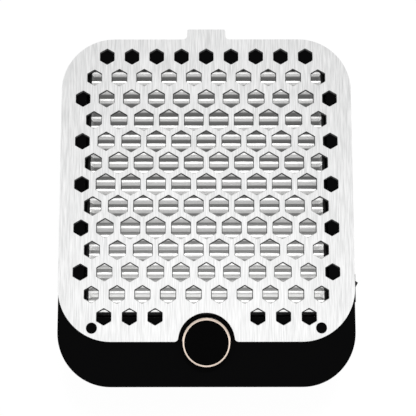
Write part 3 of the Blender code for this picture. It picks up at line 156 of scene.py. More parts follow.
class EffectGroups:
    """Builds each shared effect once.

    Every group takes Vector, Size and Stretch and gives Height and Tone.
    """

    def __init__(self) -> None:
        """Builds the four groups."""
        makers = {Effect.GRAIN: self._grain, Effect.BRUSHED: self._brushed,
                  Effect.TURNED: self._turned, Effect.FIBRE: self._fibre}
        self.groups = {effect: self._build(effect, maker) for effect, maker in makers.items()}

    @staticmethod
    def _build(effect: Effect, maker: object) -> bpy.types.NodeTree:
        """Makes one group's sockets and fills it.

        Args:
            effect: the effect that names the group.
            maker: the method that adds the inner nodes and returns the height and the tone.

        Returns:
            The node group.
        """
        tree = bpy.data.node_groups.new(effect.value, "ShaderNodeTree")
        tree.interface.new_socket("Vector", in_out="INPUT", socket_type="NodeSocketVector")
        for name in ("Size", "Stretch"):
            tree.interface.new_socket(name, in_out="INPUT", socket_type="NodeSocketFloat")
        for name in ("Height", "Tone"):
            tree.interface.new_socket(name, in_out="OUTPUT", socket_type="NodeSocketFloat")
        graph = Graph(tree)
        start = graph.add("NodeGroupInput")
        per_size = graph.maths("DIVIDE", 1.0 / MM, start.outputs["Size"])
        height, tone = maker(graph, start, per_size)
        end = graph.add("NodeGroupOutput")
        graph.link(height, end.inputs["Height"])
        graph.link(tone, end.inputs["Tone"])
        return tree

    @staticmethod
    def _grain(graph: Graph, start: bpy.types.Node, per_size: bpy.types.NodeSocket) -> tuple:
        """Spark-eroded mould grain: fine noise for the height, a broad cloud for the tone."""
        near = graph.scaled(start.outputs["Vector"], per_size)
        fine = graph.add("TexNoise", {"Vector": near, "Scale": 1.0, "Detail": 3.0, "Roughness": 0.6})
        broad = graph.maths("DIVIDE", per_size, start.outputs["Stretch"])
        far = graph.scaled(start.outputs["Vector"], broad)
        cloud = graph.add("TexNoise", {"Vector": far, "Scale": 1.0, "Detail": 2.0})
        return fine.outputs["Fac"], cloud.outputs["Fac"]

    @staticmethod
    def _brushed(graph: Graph, start: bpy.types.Node, per_size: bpy.types.NodeSocket) -> tuple:
        """Brushing: noise drawn out along Y by the stretch, fine for the height, wider for the tone."""
        along = graph.maths("DIVIDE", per_size, start.outputs["Stretch"])
        scales = graph.add("CombineXYZ", {"X": per_size, "Y": along, "Z": per_size})
        drawn = graph.add("VectorMath", {0: start.outputs["Vector"], 1: scales.outputs["Vector"]},
                          operation="MULTIPLY").outputs["Vector"]
        fine = graph.add("TexNoise", {"Vector": drawn, "Scale": 1.0, "Detail": 4.0, "Roughness": 0.65})
        wide = graph.add("TexNoise", {"Vector": drawn, "Scale": 0.7, "Detail": 2.0, "Roughness": 0.7})
        return fine.outputs["Fac"], graph.ramp(wide.outputs["Fac"], 0.32, 0.68)

    @staticmethod
    def _turned(graph: Graph, start: bpy.types.Node, per_size: bpy.types.NodeSocket) -> tuple:
        """Lathe lines round Z: noise of the distance from the axis, so every line is a circle."""
        parts = graph.add("SeparateXYZ", {"Vector": start.outputs["Vector"]})
        flat = graph.add("CombineXYZ", {"X": parts.outputs["X"], "Y": parts.outputs["Y"]})
        radius = graph.add("VectorMath", {0: flat.outputs["Vector"]}, operation="LENGTH").outputs["Value"]
        place = graph.maths("MULTIPLY", graph.maths("ADD", radius, parts.outputs["Z"]), per_size)
        fine = graph.add("TexNoise", {"W": place, "Scale": 1.0, "Detail": 2.0}, noise_dimensions="1D")
        wide = graph.add("TexNoise", {"W": place, "Scale": 0.1, "Detail": 1.0}, noise_dimensions="1D")
        return fine.outputs["Fac"], wide.outputs["Fac"]

    @staticmethod
    def _fibre(graph: Graph, start: bpy.types.Node, per_size: bpy.types.NodeSocket) -> tuple:
        """Pressed fibres: the edges of warped cells for the height, a soft cloud for the tone."""
        near = graph.scaled(start.outputs["Vector"], per_size)
        warp = graph.add("TexNoise", {"Vector": near, "Scale": 0.7, "Detail": 2.0})
        bent = graph.add("VectorMath", {0: near, 1: warp.outputs["Color"]}, operation="ADD").outputs["Vector"]
        cells = graph.add("TexVoronoi", {"Vector": bent, "Scale": 1.0}, feature="DISTANCE_TO_EDGE")
        away = graph.maths("MINIMUM", graph.maths("MULTIPLY", cells.outputs["Distance"], 3.0), 1.0)
        threads = graph.maths("SUBTRACT", 1.0, away)
        cloud = graph.add("TexNoise", {"Vector": near, "Scale": 0.05, "Detail": 3.0})
        return threads, cloud.outputs["Fac"]


@dataclass(frozen=True)
class Finish:
    """One finish: a base colour with a tone that changes over the surface, and a bump from its effect.

    Attributes:
        name: the material's name.
        slot: the record's material slot; not used.
        colour: the base colour, linear.
        roughness: the mean roughness.
        metallic: 0 or 1.
        specular: the specular level of a plastic.
        effect: the effect group.
        size: the effect's size in millimetres.
        stretch: how much longer than wide the effect is, or how much broader its cloud is.
        depth: the bump's height in millimetres.
        tone: how much the tone changes the colour.
        spread: how much the tone changes the roughness.
        centre: the place that a turned finish turns about.
    """

    name: str
    slot: str
    colour: tuple[float, float, float]
    roughness: float
    metallic: float = 0.0
    specular: float = 0.5
    effect: Effect = Effect.GRAIN
    size: float = 0.35
    stretch: float = 30.0
    depth: float = 0.01
    tone: float = 0.1
    spread: float = 0.08
    centre: tuple[float, float, float] = (0.0, 0.0, 0.0)

    def shade(self, graph: Graph, place: bpy.types.NodeSocket) -> bpy.types.NodeSocket | None:
        """The share of the colour that painted shade leaves from place to place; nothing for an even finish."""
        return None

    def painted_glow(self, graph: Graph, place: bpy.types.NodeSocket) -> bpy.types.NodeSocket | None:
        """The share of the colour given off as painted glow; nothing for a piece that does not glow."""
        return None

    def material(self, groups: EffectGroups) -> bpy.types.Material:
        """The finish's material, made the first time that it is asked for.

        The base colour runs from the dark tone to the light one and is then scaled by any painted shade. Any painted
        glow is given off as emission: the base colour scaled by the glow's share.

        Args:
            groups: the shared effect groups.

        Returns:
            The material.
        """
        made = bpy.data.materials.get(self.name)
        if made is not None:
            return made
        material = bpy.data.materials.new(self.name)
        material.use_nodes = True
        graph = Graph(material.node_tree)
        place = graph.add("TexCoord").outputs["Object"]
        centred = graph.add("Mapping", {"Vector": place, "Location": [-value for value in self.centre]})
        group = graph.add("Group", {"Vector": centred.outputs["Vector"], "Size": self.size,
                                    "Stretch": self.stretch}, node_tree=groups.groups[self.effect])
        tone = group.outputs["Tone"]
        dark, light = ([min(1.0, value * (1 + change)) for value in self.colour] + [1.0]
                       for change in (-self.tone, self.tone))
        colour = graph.add("Mix", {0: tone, 6: dark, 7: light}, data_type="RGBA").outputs[2]
        shade, painted_glow = self.shade(graph, place), self.painted_glow(graph, place)
        # painted shade scales the colour down where the finish has one
        if shade is not None:
            colour = graph.scaled(colour, shade)
        rough = graph.ramp(tone, 0.0, 1.0, max(SMOOTHEST, self.roughness - self.spread),
                           min(1.0, self.roughness + self.spread))
        bump = graph.add("Bump", {"Height": group.outputs["Height"], "Distance": self.depth * MM,
                                  "Strength": 1.0})
        shader = graph.add("BsdfPrincipled", {"Base Color": colour, "Roughness": rough,
                                              "Metallic": self.metallic, "Normal": bump.outputs["Normal"],
                                              "Specular IOR Level": self.specular})
        # painted glow: the colour given off as emission, though the piece is no lamp
        if painted_glow is not None:
            graph.link(graph.scaled(colour, painted_glow), shader.inputs["Emission Color"])
            shader.inputs["Emission Strength"].default_value = 1.0
        output = graph.add("OutputMaterial", {"Surface": shader.outputs[0]})
        output.is_active_output = True
        material.diffuse_color = (*self.colour, 1.0)
        return material


@dataclass(frozen=True)
class FoldedPaintedLight(Finish):
    """A folded sheet: white ridges, a pale part in front of each down to a painted shade line, then painted shade.

    The phase of a point is the fraction of its distance in front of the back ridge over the pitch: 0 on a
    ridge, 0.5 in the valley. The painted shade line's phase grows from the back fold to the front one, with
    the power of the distance. The sheet also gives off a painted glow, most of all along its ridges.

    Attributes:
        back_ridge: the back ridge's place along Y.
        ridge_height: the height over which the sheet is bare of painted shade on both sides and takes the ridges'
            painted glow.
        reach: the front ridge's distance from the back one.
        back_line: the painted shade line's phase at the back.
        front_line: the painted shade line's phase at the front.
        line_power: the power of the distance that the phase grows with.
        line_softness: half the line's blurred width, as a phase.
        back_shade: what the painted shade leaves of the colour beyond the line at the back.
        front_shade: what the painted shade leaves of the colour beyond the line at the front.
        crease_shade: how much painted shade darkens a pressed line across the pale part.
        crease_place: where the pressed line lies, as a share of the pale part.
        crease_core: half the width of its full shade, as a phase.
        crease_reach: how far from its middle it ends, as a phase.
        ridge_softness: half the height over which the walls' painted glow turns into the ridges'.
        ridge_light: the painted glow that the ridges give off.
        back_light: the painted glow that the walls give off at the back.
        front_light: the painted glow that the walls give off at the front.
    """

    back_ridge: float = 0.10363
    ridge_height: float = 0.0524
    reach: float = 0.18356
    back_line: float = 0.19
    front_line: float = 0.70
    line_power: float = 1.8
    line_softness: float = 0.03
    back_shade: float = 0.25
    front_shade: float = 0.37
    crease_shade: float = 0.16
    crease_place: float = 0.55
    crease_core: float = 0.015
    crease_reach: float = 0.04
    ridge_softness: float = 0.0001
    ridge_light: float = 0.62
    back_light: float = 0.34
    front_light: float = 0.25

    def shade(self, graph: Graph, place: bpy.types.NodeSocket) -> bpy.types.NodeSocket:
        """The folds' painted shade: below the ridges, the dark part and the pressed line darken the colour.

        Args:
            graph: the material's tree.
            place: the object coordinates.

        Returns:
            The share's socket.
        """
        parts = graph.add("SeparateXYZ", {"Vector": place})
        forward = graph.maths("SUBTRACT", self.back_ridge, parts.outputs["Y"])
        phase = graph.maths("FRACT", graph.maths("DIVIDE", forward, PLEAT_PITCH))
        share = graph.maths("DIVIDE", forward, self.reach)
        bent = graph.maths("POWER", share, self.line_power)
        line = graph.ramp(bent, 0.0, 1.0, self.back_line, self.front_line)
        deep = graph.ramp(share, 0.0, 1.0, self.back_shade, self.front_shade)
        past = graph.maths("SUBTRACT", phase, line)
        beyond = graph.ramp(past, -self.line_softness, self.line_softness)
        below = graph.maths("LESS_THAN", parts.outputs["Z"], self.ridge_height)
        # painted shade: darker beyond the shade line, and along the pressed line, all below the ridges
        dark = graph.maths("MULTIPLY", beyond, graph.maths("SUBTRACT", 1.0, deep))
        crease = graph.maths("SUBTRACT", phase, graph.maths("MULTIPLY", line, self.crease_place))
        thin = graph.ramp(graph.maths("ABSOLUTE", crease), self.crease_core, self.crease_reach,
                          self.crease_shade, 0.0)
        lost = graph.maths("MULTIPLY", below, graph.maths("ADD", dark, thin))
        return graph.maths("SUBTRACT", 1.0, lost)

    def painted_glow(self, graph: Graph, place: bpy.types.NodeSocket) -> bpy.types.NodeSocket:
        """The share of the colour that the ridges and the walls give off as painted glow.

        Args:
            graph: the material's tree.
            place: the object coordinates.

        Returns:
            The share's socket.
        """
        parts = graph.add("SeparateXYZ", {"Vector": place})
        # painted glow of the walls, from the front value to the back one, and of the ridges above them
        wall = graph.ramp(parts.outputs["Y"], self.back_ridge - self.reach, self.back_ridge,
                          self.front_light, self.back_light)
        return graph.ramp(parts.outputs["Z"], self.ridge_height - self.ridge_softness,
                          self.ridge_height + self.ridge_softness, wall, self.ridge_light)


@dataclass(frozen=True)
class CutEdgePaintedShade(Finish):
    """A sheet whose faces are bright and whose cut edges, the upright parts under its top rim, get painted shade.

    Attributes:
        rim_height: the height under which an upright part counts as cut.
        edge_shade: what the painted shade leaves of the colour on a cut edge that faces the front or a side.
        back_edge_shade: what the painted shade leaves on a cut edge that faces the back, and so the lamp.
        flattest: the upward part of the normal from which a face is no longer upright.
        turn: the backward part of the normal where the one shade starts to change and where it ends.
    """

    rim_height: float = 0.06075
    edge_shade: float = 0.08
    back_edge_shade: float = 0.42
    flattest: float = 0.9
    turn: tuple[float, float] = (0.1, 0.8)

    def shade(self, graph: Graph, place: bpy.types.NodeSocket) -> bpy.types.NodeSocket:
        """What the painted shade leaves of the colour: all of it on the faces, little on the cut edges.

        Args:
            graph: the material's tree.
            place: the object coordinates.

        Returns:
            The share's socket.
        """
        height = graph.add("SeparateXYZ", {"Vector": place}).outputs["Z"]
        normal = graph.add("NewGeometry").outputs["True Normal"]
        facing = graph.add("SeparateXYZ", {"Vector": normal})
        under = graph.maths("LESS_THAN", height, self.rim_height)
        upright = graph.maths("LESS_THAN", graph.maths("ABSOLUTE", facing.outputs["Z"]), self.flattest)
        # painted shade on the cut edges, lighter on those that face the back and the lamp
        lost = graph.ramp(facing.outputs["Y"], *self.turn, 1 - self.edge_shade, 1 - self.back_edge_shade)
        dark = graph.maths("MULTIPLY", graph.maths("MULTIPLY", under, upright), lost)
        return graph.maths("SUBTRACT", 1.0, dark)


KNOB_CENTRE = (0.0, KNOB_Y, 0.061)
FAN_CENTRE = (-0.014, WELL_Y, 0.02)

SHELL = Finish("moulded_shell", "shell_black", (0.0013, 0.0013, 0.0014), 0.55, specular=0.018, size=0.35,
               depth=0.008)
KNOB = Finish("knob_plastic", "knob_black", (0.0010, 0.0010, 0.0010), 0.50, specular=0.01, size=0.25,
              depth=0.003)
# the cover's steel, with painted shade on the holes' cut edges
STEEL = CutEdgePaintedShade("brushed_cover", "cover_steel", (0.88, 0.885, 0.885), 0.34, 1.0, effect=Effect.BRUSHED,
                      size=0.62, stretch=22.0, depth=0.001, tone=0.17, spread=0.05)
ROSE = Finish("rose_bevel", "rose_metal", (0.96, 0.80, 0.68), 0.2, 1.0, effect=Effect.TURNED, size=0.12,
              depth=0.001, tone=0.05, spread=0.05, centre=KNOB_CENTRE)
# the filter sheet, with painted shade on its folds and a painted glow
MEDIA = FoldedPaintedLight("pleated_paper", "filter_white", (0.88, 0.88, 0.875), 0.9, specular=0.2,
                     effect=Effect.FIBRE, size=0.45, depth=0.02, tone=0.02, spread=0.05)
FRAME = Finish("filter_frame_plastic", "frame_black", (0.006, 0.006, 0.006), 0.55, specular=0.2, size=0.3,
               depth=0.012)
FOAM = Finish("foam_seal", "seal_foam", (0.03, 0.03, 0.03), 0.95, specular=0.1, effect=Effect.FIBRE, size=0.5,
              depth=0.15)
ROCKER = Finish("rocker_plastic", "knob_black", (0.006, 0.006, 0.006), 0.42, specular=0.2, size=0.25,
                depth=0.003)
FAN_PLASTIC = Finish("fan_plastic", "fan_plastic", (0.06, 0.06, 0.064), 0.45, size=0.4, depth=0.01)
ZINC = Finish("zinc_plate", "zinc_steel", (0.62, 0.63, 0.65), 0.32, 1.0, size=0.6, depth=0.004, spread=0.1)
TURNED_STEEL = Finish("turned_steel", "zinc_steel", (0.62, 0.63, 0.65), 0.3, 1.0, effect=Effect.TURNED,
                      size=0.15, depth=0.003, centre=FAN_CENTRE)
IRON = Finish("stacked_iron", "core_iron", (0.2, 0.2, 0.21), 0.5, 1.0, size=0.5, depth=0.03)
BRASS = Finish("plain_brass", "bright_brass", (0.78, 0.6, 0.3), 0.3, 1.0, effect=Effect.BRUSHED, size=0.2,
               stretch=8.0, depth=0.004)
BOARD = Finish("green_board", "board_green", (0.03, 0.16, 0.07), 0.36, size=1.2, depth=0.02, tone=0.3)
RUBBER = Finish("foot_rubber", "foot_rubber", (0.012, 0.012, 0.012), 0.82, specular=0.25, size=0.5,
                depth=0.03)
RED_LEAD = Finish("red_insulation", "lead_red", (0.45, 0.02, 0.02), 0.45, size=0.5, depth=0.006)
BLACK_LEAD = Finish("black_insulation", "lead_black", (0.015, 0.015, 0.015), 0.45, size=0.5, depth=0.006)
SINK = Finish("extruded_sink", "sink_aluminium", (0.75, 0.75, 0.76), 0.38, 1.0, effect=Effect.BRUSHED,
              size=0.15, stretch=20.0, depth=0.005)
PLUG = Finish("white_plug", "plug_white", (0.88, 0.87, 0.84), 0.45, size=0.4, depth=0.008)
CAN = Finish("capacitor_sleeve", "frame_black", (0.02, 0.02, 0.025), 0.3, size=0.8, depth=0.004)


# Surfaces

def rounded_loops(half_width: Array, half_length: Array, radius: Array, centre_x: Array, centre_y: Array,
                  height: Array, steps: int) -> Array:
    """Rectangles with round corners, one a row: four quarter circles joined by straight sides.

    Args:
        half_width: half the size along X.
        half_length: half the size along Y.
        radius: the corner's radius.
        centre_x: the middle along X.
        centre_y: the middle along Y.
        height: the ring's height.
        steps: spaces along each quarter circle.

    Returns:
        Points as (rows, points, 3), counter-clockwise.
    """
    quarter = np.arange(4)[:, None]
    turn = (quarter + np.linspace(0, 1, steps + 1)[None, :]).ravel() * QUARTER_TURN
    side_x = np.repeat(np.array([1, -1, -1, 1]), steps + 1)
    side_y = np.repeat(np.array([1, 1, -1, -1]), steps + 1)
    columns = [np.asarray(value, float).reshape(-1, 1)
               for value in (half_width, half_length, radius, centre_x, centre_y, height)]
    wide, long, round_, mid_x, mid_y, up = np.broadcast_arrays(*columns)
    x = mid_x + side_x * (wide - round_) + round_ * np.cos(turn)
    y = mid_y + side_y * (long - round_) + round_ * np.sin(turn)
    return np.stack([x, y, np.broadcast_to(up, x.shape)], axis=-1)


def softened(corners: Array, reach: Array, steps: int = 4, hold: float = 1.35) -> Array:
    """Rounds the corners of a closed profile in any number of coordinates.

    Each corner c with reach r becomes the quadratic curve (1-t)^2 a + 2t(1-t) c + t^2 b, where a and b lie at
    r from c towards its neighbours, with one more point a little further out to hold the flats flat.

    Args:
        corners: (corners, coordinates).
        reach: how far each corner's rounding runs along both its sides, 0 for a sharp one.
        steps: spaces along each curve.
        hold: where the holding points lie, in reaches.

    Returns:
        The profile's points as (points, coordinates).
    """
    before = np.roll(corners, 1, axis=0) - corners
    after = np.roll(corners, -1, axis=0) - corners
    before /= np.maximum(np.linalg.norm(before, axis=1, keepdims=True), NO_LENGTH)
    after /= np.maximum(np.linalg.norm(after, axis=1, keepdims=True), NO_LENGTH)
    reach = np.asarray(reach, float).reshape(-1, 1)
    start, end = corners + before * reach, corners + after * reach
    t = np.linspace(0, 1, steps + 1).reshape(1, -1, 1)
    curve = (1 - t) ** 2 * start[:, None] + 2 * t * (1 - t) * corners[:, None] + t ** 2 * end[:, None]
    out_start, out_end = corners + before * reach * hold, corners + after * reach * hold
    rows = np.concatenate([out_start[:, None], curve, out_end[:, None]], axis=1)
    return rows.reshape(-1, corners.shape[1])


def soft_section(rows: list[tuple], **settings: float) -> Array:
    """A closed section from pairs of a corner and its reach, rounded by softened."""
    corners, reach = zip(*rows)
    return softened(np.array(corners, float), np.array(reach), **settings)


def grown(loop: Array, distance: Array) -> Array:
    """Closed flat loops moved outwards by a distance, each corner along its mitre.

    Args:
        loop: (points, 2), counter-clockwise.
        distance: one distance for each ring to make.

    Returns:
        Points as (rings, points, 2).
    """
    along = np.roll(loop, -1, axis=0) - loop
    along /= np.maximum(np.linalg.norm(along, axis=1, keepdims=True), NO_LENGTH)
    normal = np.stack([along[:, 1], -along[:, 0]], axis=1)
    last = np.roll(normal, 1, axis=0)
    mitre = (normal + last) / (1 + np.sum(normal * last, axis=1, keepdims=True))
    return loop[None] + np.asarray(distance, float).reshape(-1, 1, 1) * mitre[None]


def grid_faces(rows: int, columns: int, closed_rows: bool) -> Array:
    """The four-sided faces of a grid whose columns close round, and whose rows may.

    Args:
        rows: rings in the grid.
        columns: points in each ring.
        closed_rows: whether the last ring joins the first.

    Returns:
        Vertex numbers as (faces, 4).
    """
    row = np.arange(rows if closed_rows else rows - 1)[:, None]
    column = np.arange(columns)[None, :]
    next_row, next_column = (row + 1) % rows, (column + 1) % columns
    corners = [row * columns + column, row * columns + next_column, next_row * columns + next_column,
               next_row * columns + column]
    return np.stack([np.broadcast_to(corner, corners[2].shape) for corner in corners], axis=-1).reshape(-1, 4)


def finished_mesh(name: str, points: Array, faces: list, sharp: float = SHARP_ANGLE) -> bpy.types.Object:
    """A mesh object from arrays, with doubles merged, faces turned out and smooth shading up to an angle.

    Args:
        name: the piece's name.
        points: (points, 3).
        faces: lists of vertex numbers.
        sharp: edges that turn more than this stay sharp.

    Returns:
        The object, linked to the scene.
    """
    mesh = bpy.data.meshes.new(name)
    mesh.from_pydata(points.tolist(), [], faces)
    work = bmesh.new()
    work.from_mesh(mesh)
    bmesh.ops.remove_doubles(work, verts=work.verts, dist=MERGE_DISTANCE)
    bmesh.ops.recalc_face_normals(work, faces=work.faces)
    work.to_mesh(mesh)
    work.free()
    mesh.shade_smooth()
    mesh.set_sharp_from_angle(angle=sharp)
    piece = bpy.data.objects.new(name, mesh)
    bpy.context.scene.collection.objects.link(piece)
    return piece


def lofted(name: str, rings: Array, closed: bool) -> bpy.types.Object:
    """A surface through rings of points, closed into a torus or capped at both ends.

    Args:
        name: the piece's name.
        rings: (rings, points, 3).
        closed: whether the last ring joins the first.

    Returns:
        The object.
    """
    count, around = rings.shape[:2]
    faces = grid_faces(count, around, closed).tolist()
    if not closed:
        faces += [list(range(around)), list(range((count - 1) * around, count * around))]
    return finished_mesh(name, rings.reshape(-1, 3), faces)


def turned(name: str, profile: Array, places: tuple | list, steps: int) -> bpy.types.Object:
    """One turned form or several: a closed profile of (radius, height) carried round each upright axis.

    Args:
        name: the piece's name.
        profile: (points, 2).
        places: the axes' places as (x, y).
        steps: points round each axis.

    Returns:
        The object.
    """
    turn = np.linspace(0, FULL_TURN, steps, endpoint=False)[None, :]
    radius, height = profile[:, :1], profile[:, 1:]
    across, over = radius * np.cos(turn), radius * np.sin(turn)
    rings = np.stack([across, over, np.broadcast_to(height, across.shape)], axis=-1)
    shifts = np.array([(*place, 0.0) for place in places])[:, None, None, :]
    starts = len(profile) * steps * np.arange(len(places)).reshape(-1, 1, 1)
    faces = grid_faces(len(profile), steps, True)[None] + starts
    return finished_mesh(name, (rings[None] + shifts).reshape(-1, 3), faces.reshape(-1, 4).tolist())


def extruded(name: str, loop: Array, bottom: float, top: float, edge: float,
             steps: int = 3) -> bpy.types.Object:
    """A flat loop carried upwards, its two rims rounded by an edge radius, with flat caps.

    Args:
        name: the piece's name.
        loop: (points, 2), counter-clockwise.
        bottom: the lower face's height.
        top: the upper face's height.
        edge: the rims' radius.
        steps: spaces along each rim.

    Returns:
        The object.
    """
    turn = np.linspace(0, QUARTER_TURN, steps + 1)
    inset = edge * (1 - np.sin(turn))
    rise = edge * (1 - np.cos(turn))
    distance = np.concatenate([-inset, -inset[::-1]])
    height = np.concatenate([bottom + rise, top - rise[::-1]])
    rings = grown(loop, distance)
    up = np.broadcast_to(height.reshape(-1, 1, 1), (*rings.shape[:2], 1))
    return lofted(name, np.concatenate([rings, up], axis=-1), closed=False)


def box_array(size: tuple, centres: Array) -> tuple[Array, list]:
    """Plain boxes of one size at several places, for cutting.

    Args:
        size: the full sizes along X, Y and Z.
        centres: (boxes, 3).

    Returns:
        The points and the faces.
    """
    signs = np.array([[x, y, z] for x in (-1, 1) for y in (-1, 1) for z in (-1, 1)], float) / 2
    points = centres[:, None, :] + signs[None] * np.asarray(size, float)
    sides = np.array([[0, 1, 3, 2], [4, 6, 7, 5], [0, 4, 5, 1], [2, 3, 7, 6], [0, 2, 6, 4], [1, 5, 7, 3]])
    faces = sides[None] + 8 * np.arange(len(centres)).reshape(-1, 1, 1)
    return points.reshape(-1, 3), faces.reshape(-1, 4).tolist()


def rod_array(radius: float, bottom: float, top: float, places: Array,
              steps: int = 32) -> tuple[Array, list]:
    """Plain upright rods of one size at several places, for cutting.

    Args:
        radius: the rods' radius.
        bottom: their lower end.
        top: their upper end.
        places: (rods, 2).
        steps: points round each.

    Returns:
        The points and the faces.
    """
    turn = np.linspace(0, FULL_TURN, steps, endpoint=False)
    ring = radius * np.stack([np.cos(turn), np.sin(turn)], axis=-1)
    flat = places[:, None, None, :] + ring[None, None]
    flat = np.broadcast_to(flat, (len(places), 2, steps, 2))
    up = np.broadcast_to(np.array([bottom, top]).reshape(1, 2, 1, 1), (len(places), 2, steps, 1))
    points = np.concatenate([flat, up], axis=-1).reshape(-1, 3)
    side = grid_faces(2, steps, False)
    starts = 2 * steps * np.arange(len(places)).reshape(-1, 1, 1)
    faces = (side[None] + starts).reshape(-1, 4).tolist()
    ends = np.stack([np.arange(steps)[::-1], np.arange(steps, 2 * steps)])[None] + starts
    return points, faces + ends.reshape(-1, steps).tolist()


def carved(piece: bpy.types.Object, cutters: list[tuple[Array, list]]) -> bpy.types.Object:
    """Cuts closed forms out of a piece and keeps the result in its mesh.

    Args:
        piece: the piece to cut.
        cutters: points and faces of each set of cutters.

    Returns:
        The same piece.
    """
    tools = []
    for number, (points, faces) in enumerate(cutters):
        tool = finished_mesh(f"{piece.name}_cutter_{number}", points, faces)
        change = piece.modifiers.new(tool.name, "BOOLEAN")
        change.operation = "DIFFERENCE"
        change.object = tool
        change.solver = "EXACT"
        tools.append(tool)
    bpy.context.view_layer.update()
    result = bpy.data.meshes.new_from_object(piece.evaluated_get(bpy.context.evaluated_depsgraph_get()))
    piece.modifiers.clear()
    piece.data = result
    result.shade_smooth()
    result.set_sharp_from_angle(angle=SHARP_ANGLE)
    for tool in tools:
        bpy.data.objects.remove(tool, do_unlink=True)
    return piece


class Dresser:
    """Puts finishes on pieces and says what each rides on and stands for."""

    def __init__(self) -> None:
        """Builds the shared effect groups."""
        self.groups = EffectGroups()

    def dress(self, piece: bpy.types.Object, finish: Finish, body: str, *nodes: str) -> bpy.types.Object:
        """Finishes a new piece.

        Args:
            piece: the new piece.
            finish: its finish.
            body: the body that it rides on.
            *nodes: the CAD nodes that it stands for.

        Returns:
            The piece.
        """
        piece.data.materials.clear()
        piece.data.materials.append(finish.material(self.groups))
        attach(piece, body)
        if nodes:
            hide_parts(*nodes)
        log.info("%s rides on %s, finish %s", piece.name, body, finish.name)
        return piece

    def paint(self, node: str, finish: Finish) -> None:
        """Gives a CAD node that keeps its own shape a better material.

        Args:
            node: the node's name.
            finish: its finish.
        """
        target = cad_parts[node]
        material = finish.material(self.groups)
        if not target.material_slots:
            target.data.materials.append(material)
        for place in target.material_slots:
            place.material = material
        log.info("%s keeps its shape, finish %s", node, finish.name)


# The object's own sizes, in metres, as the CAD model has them

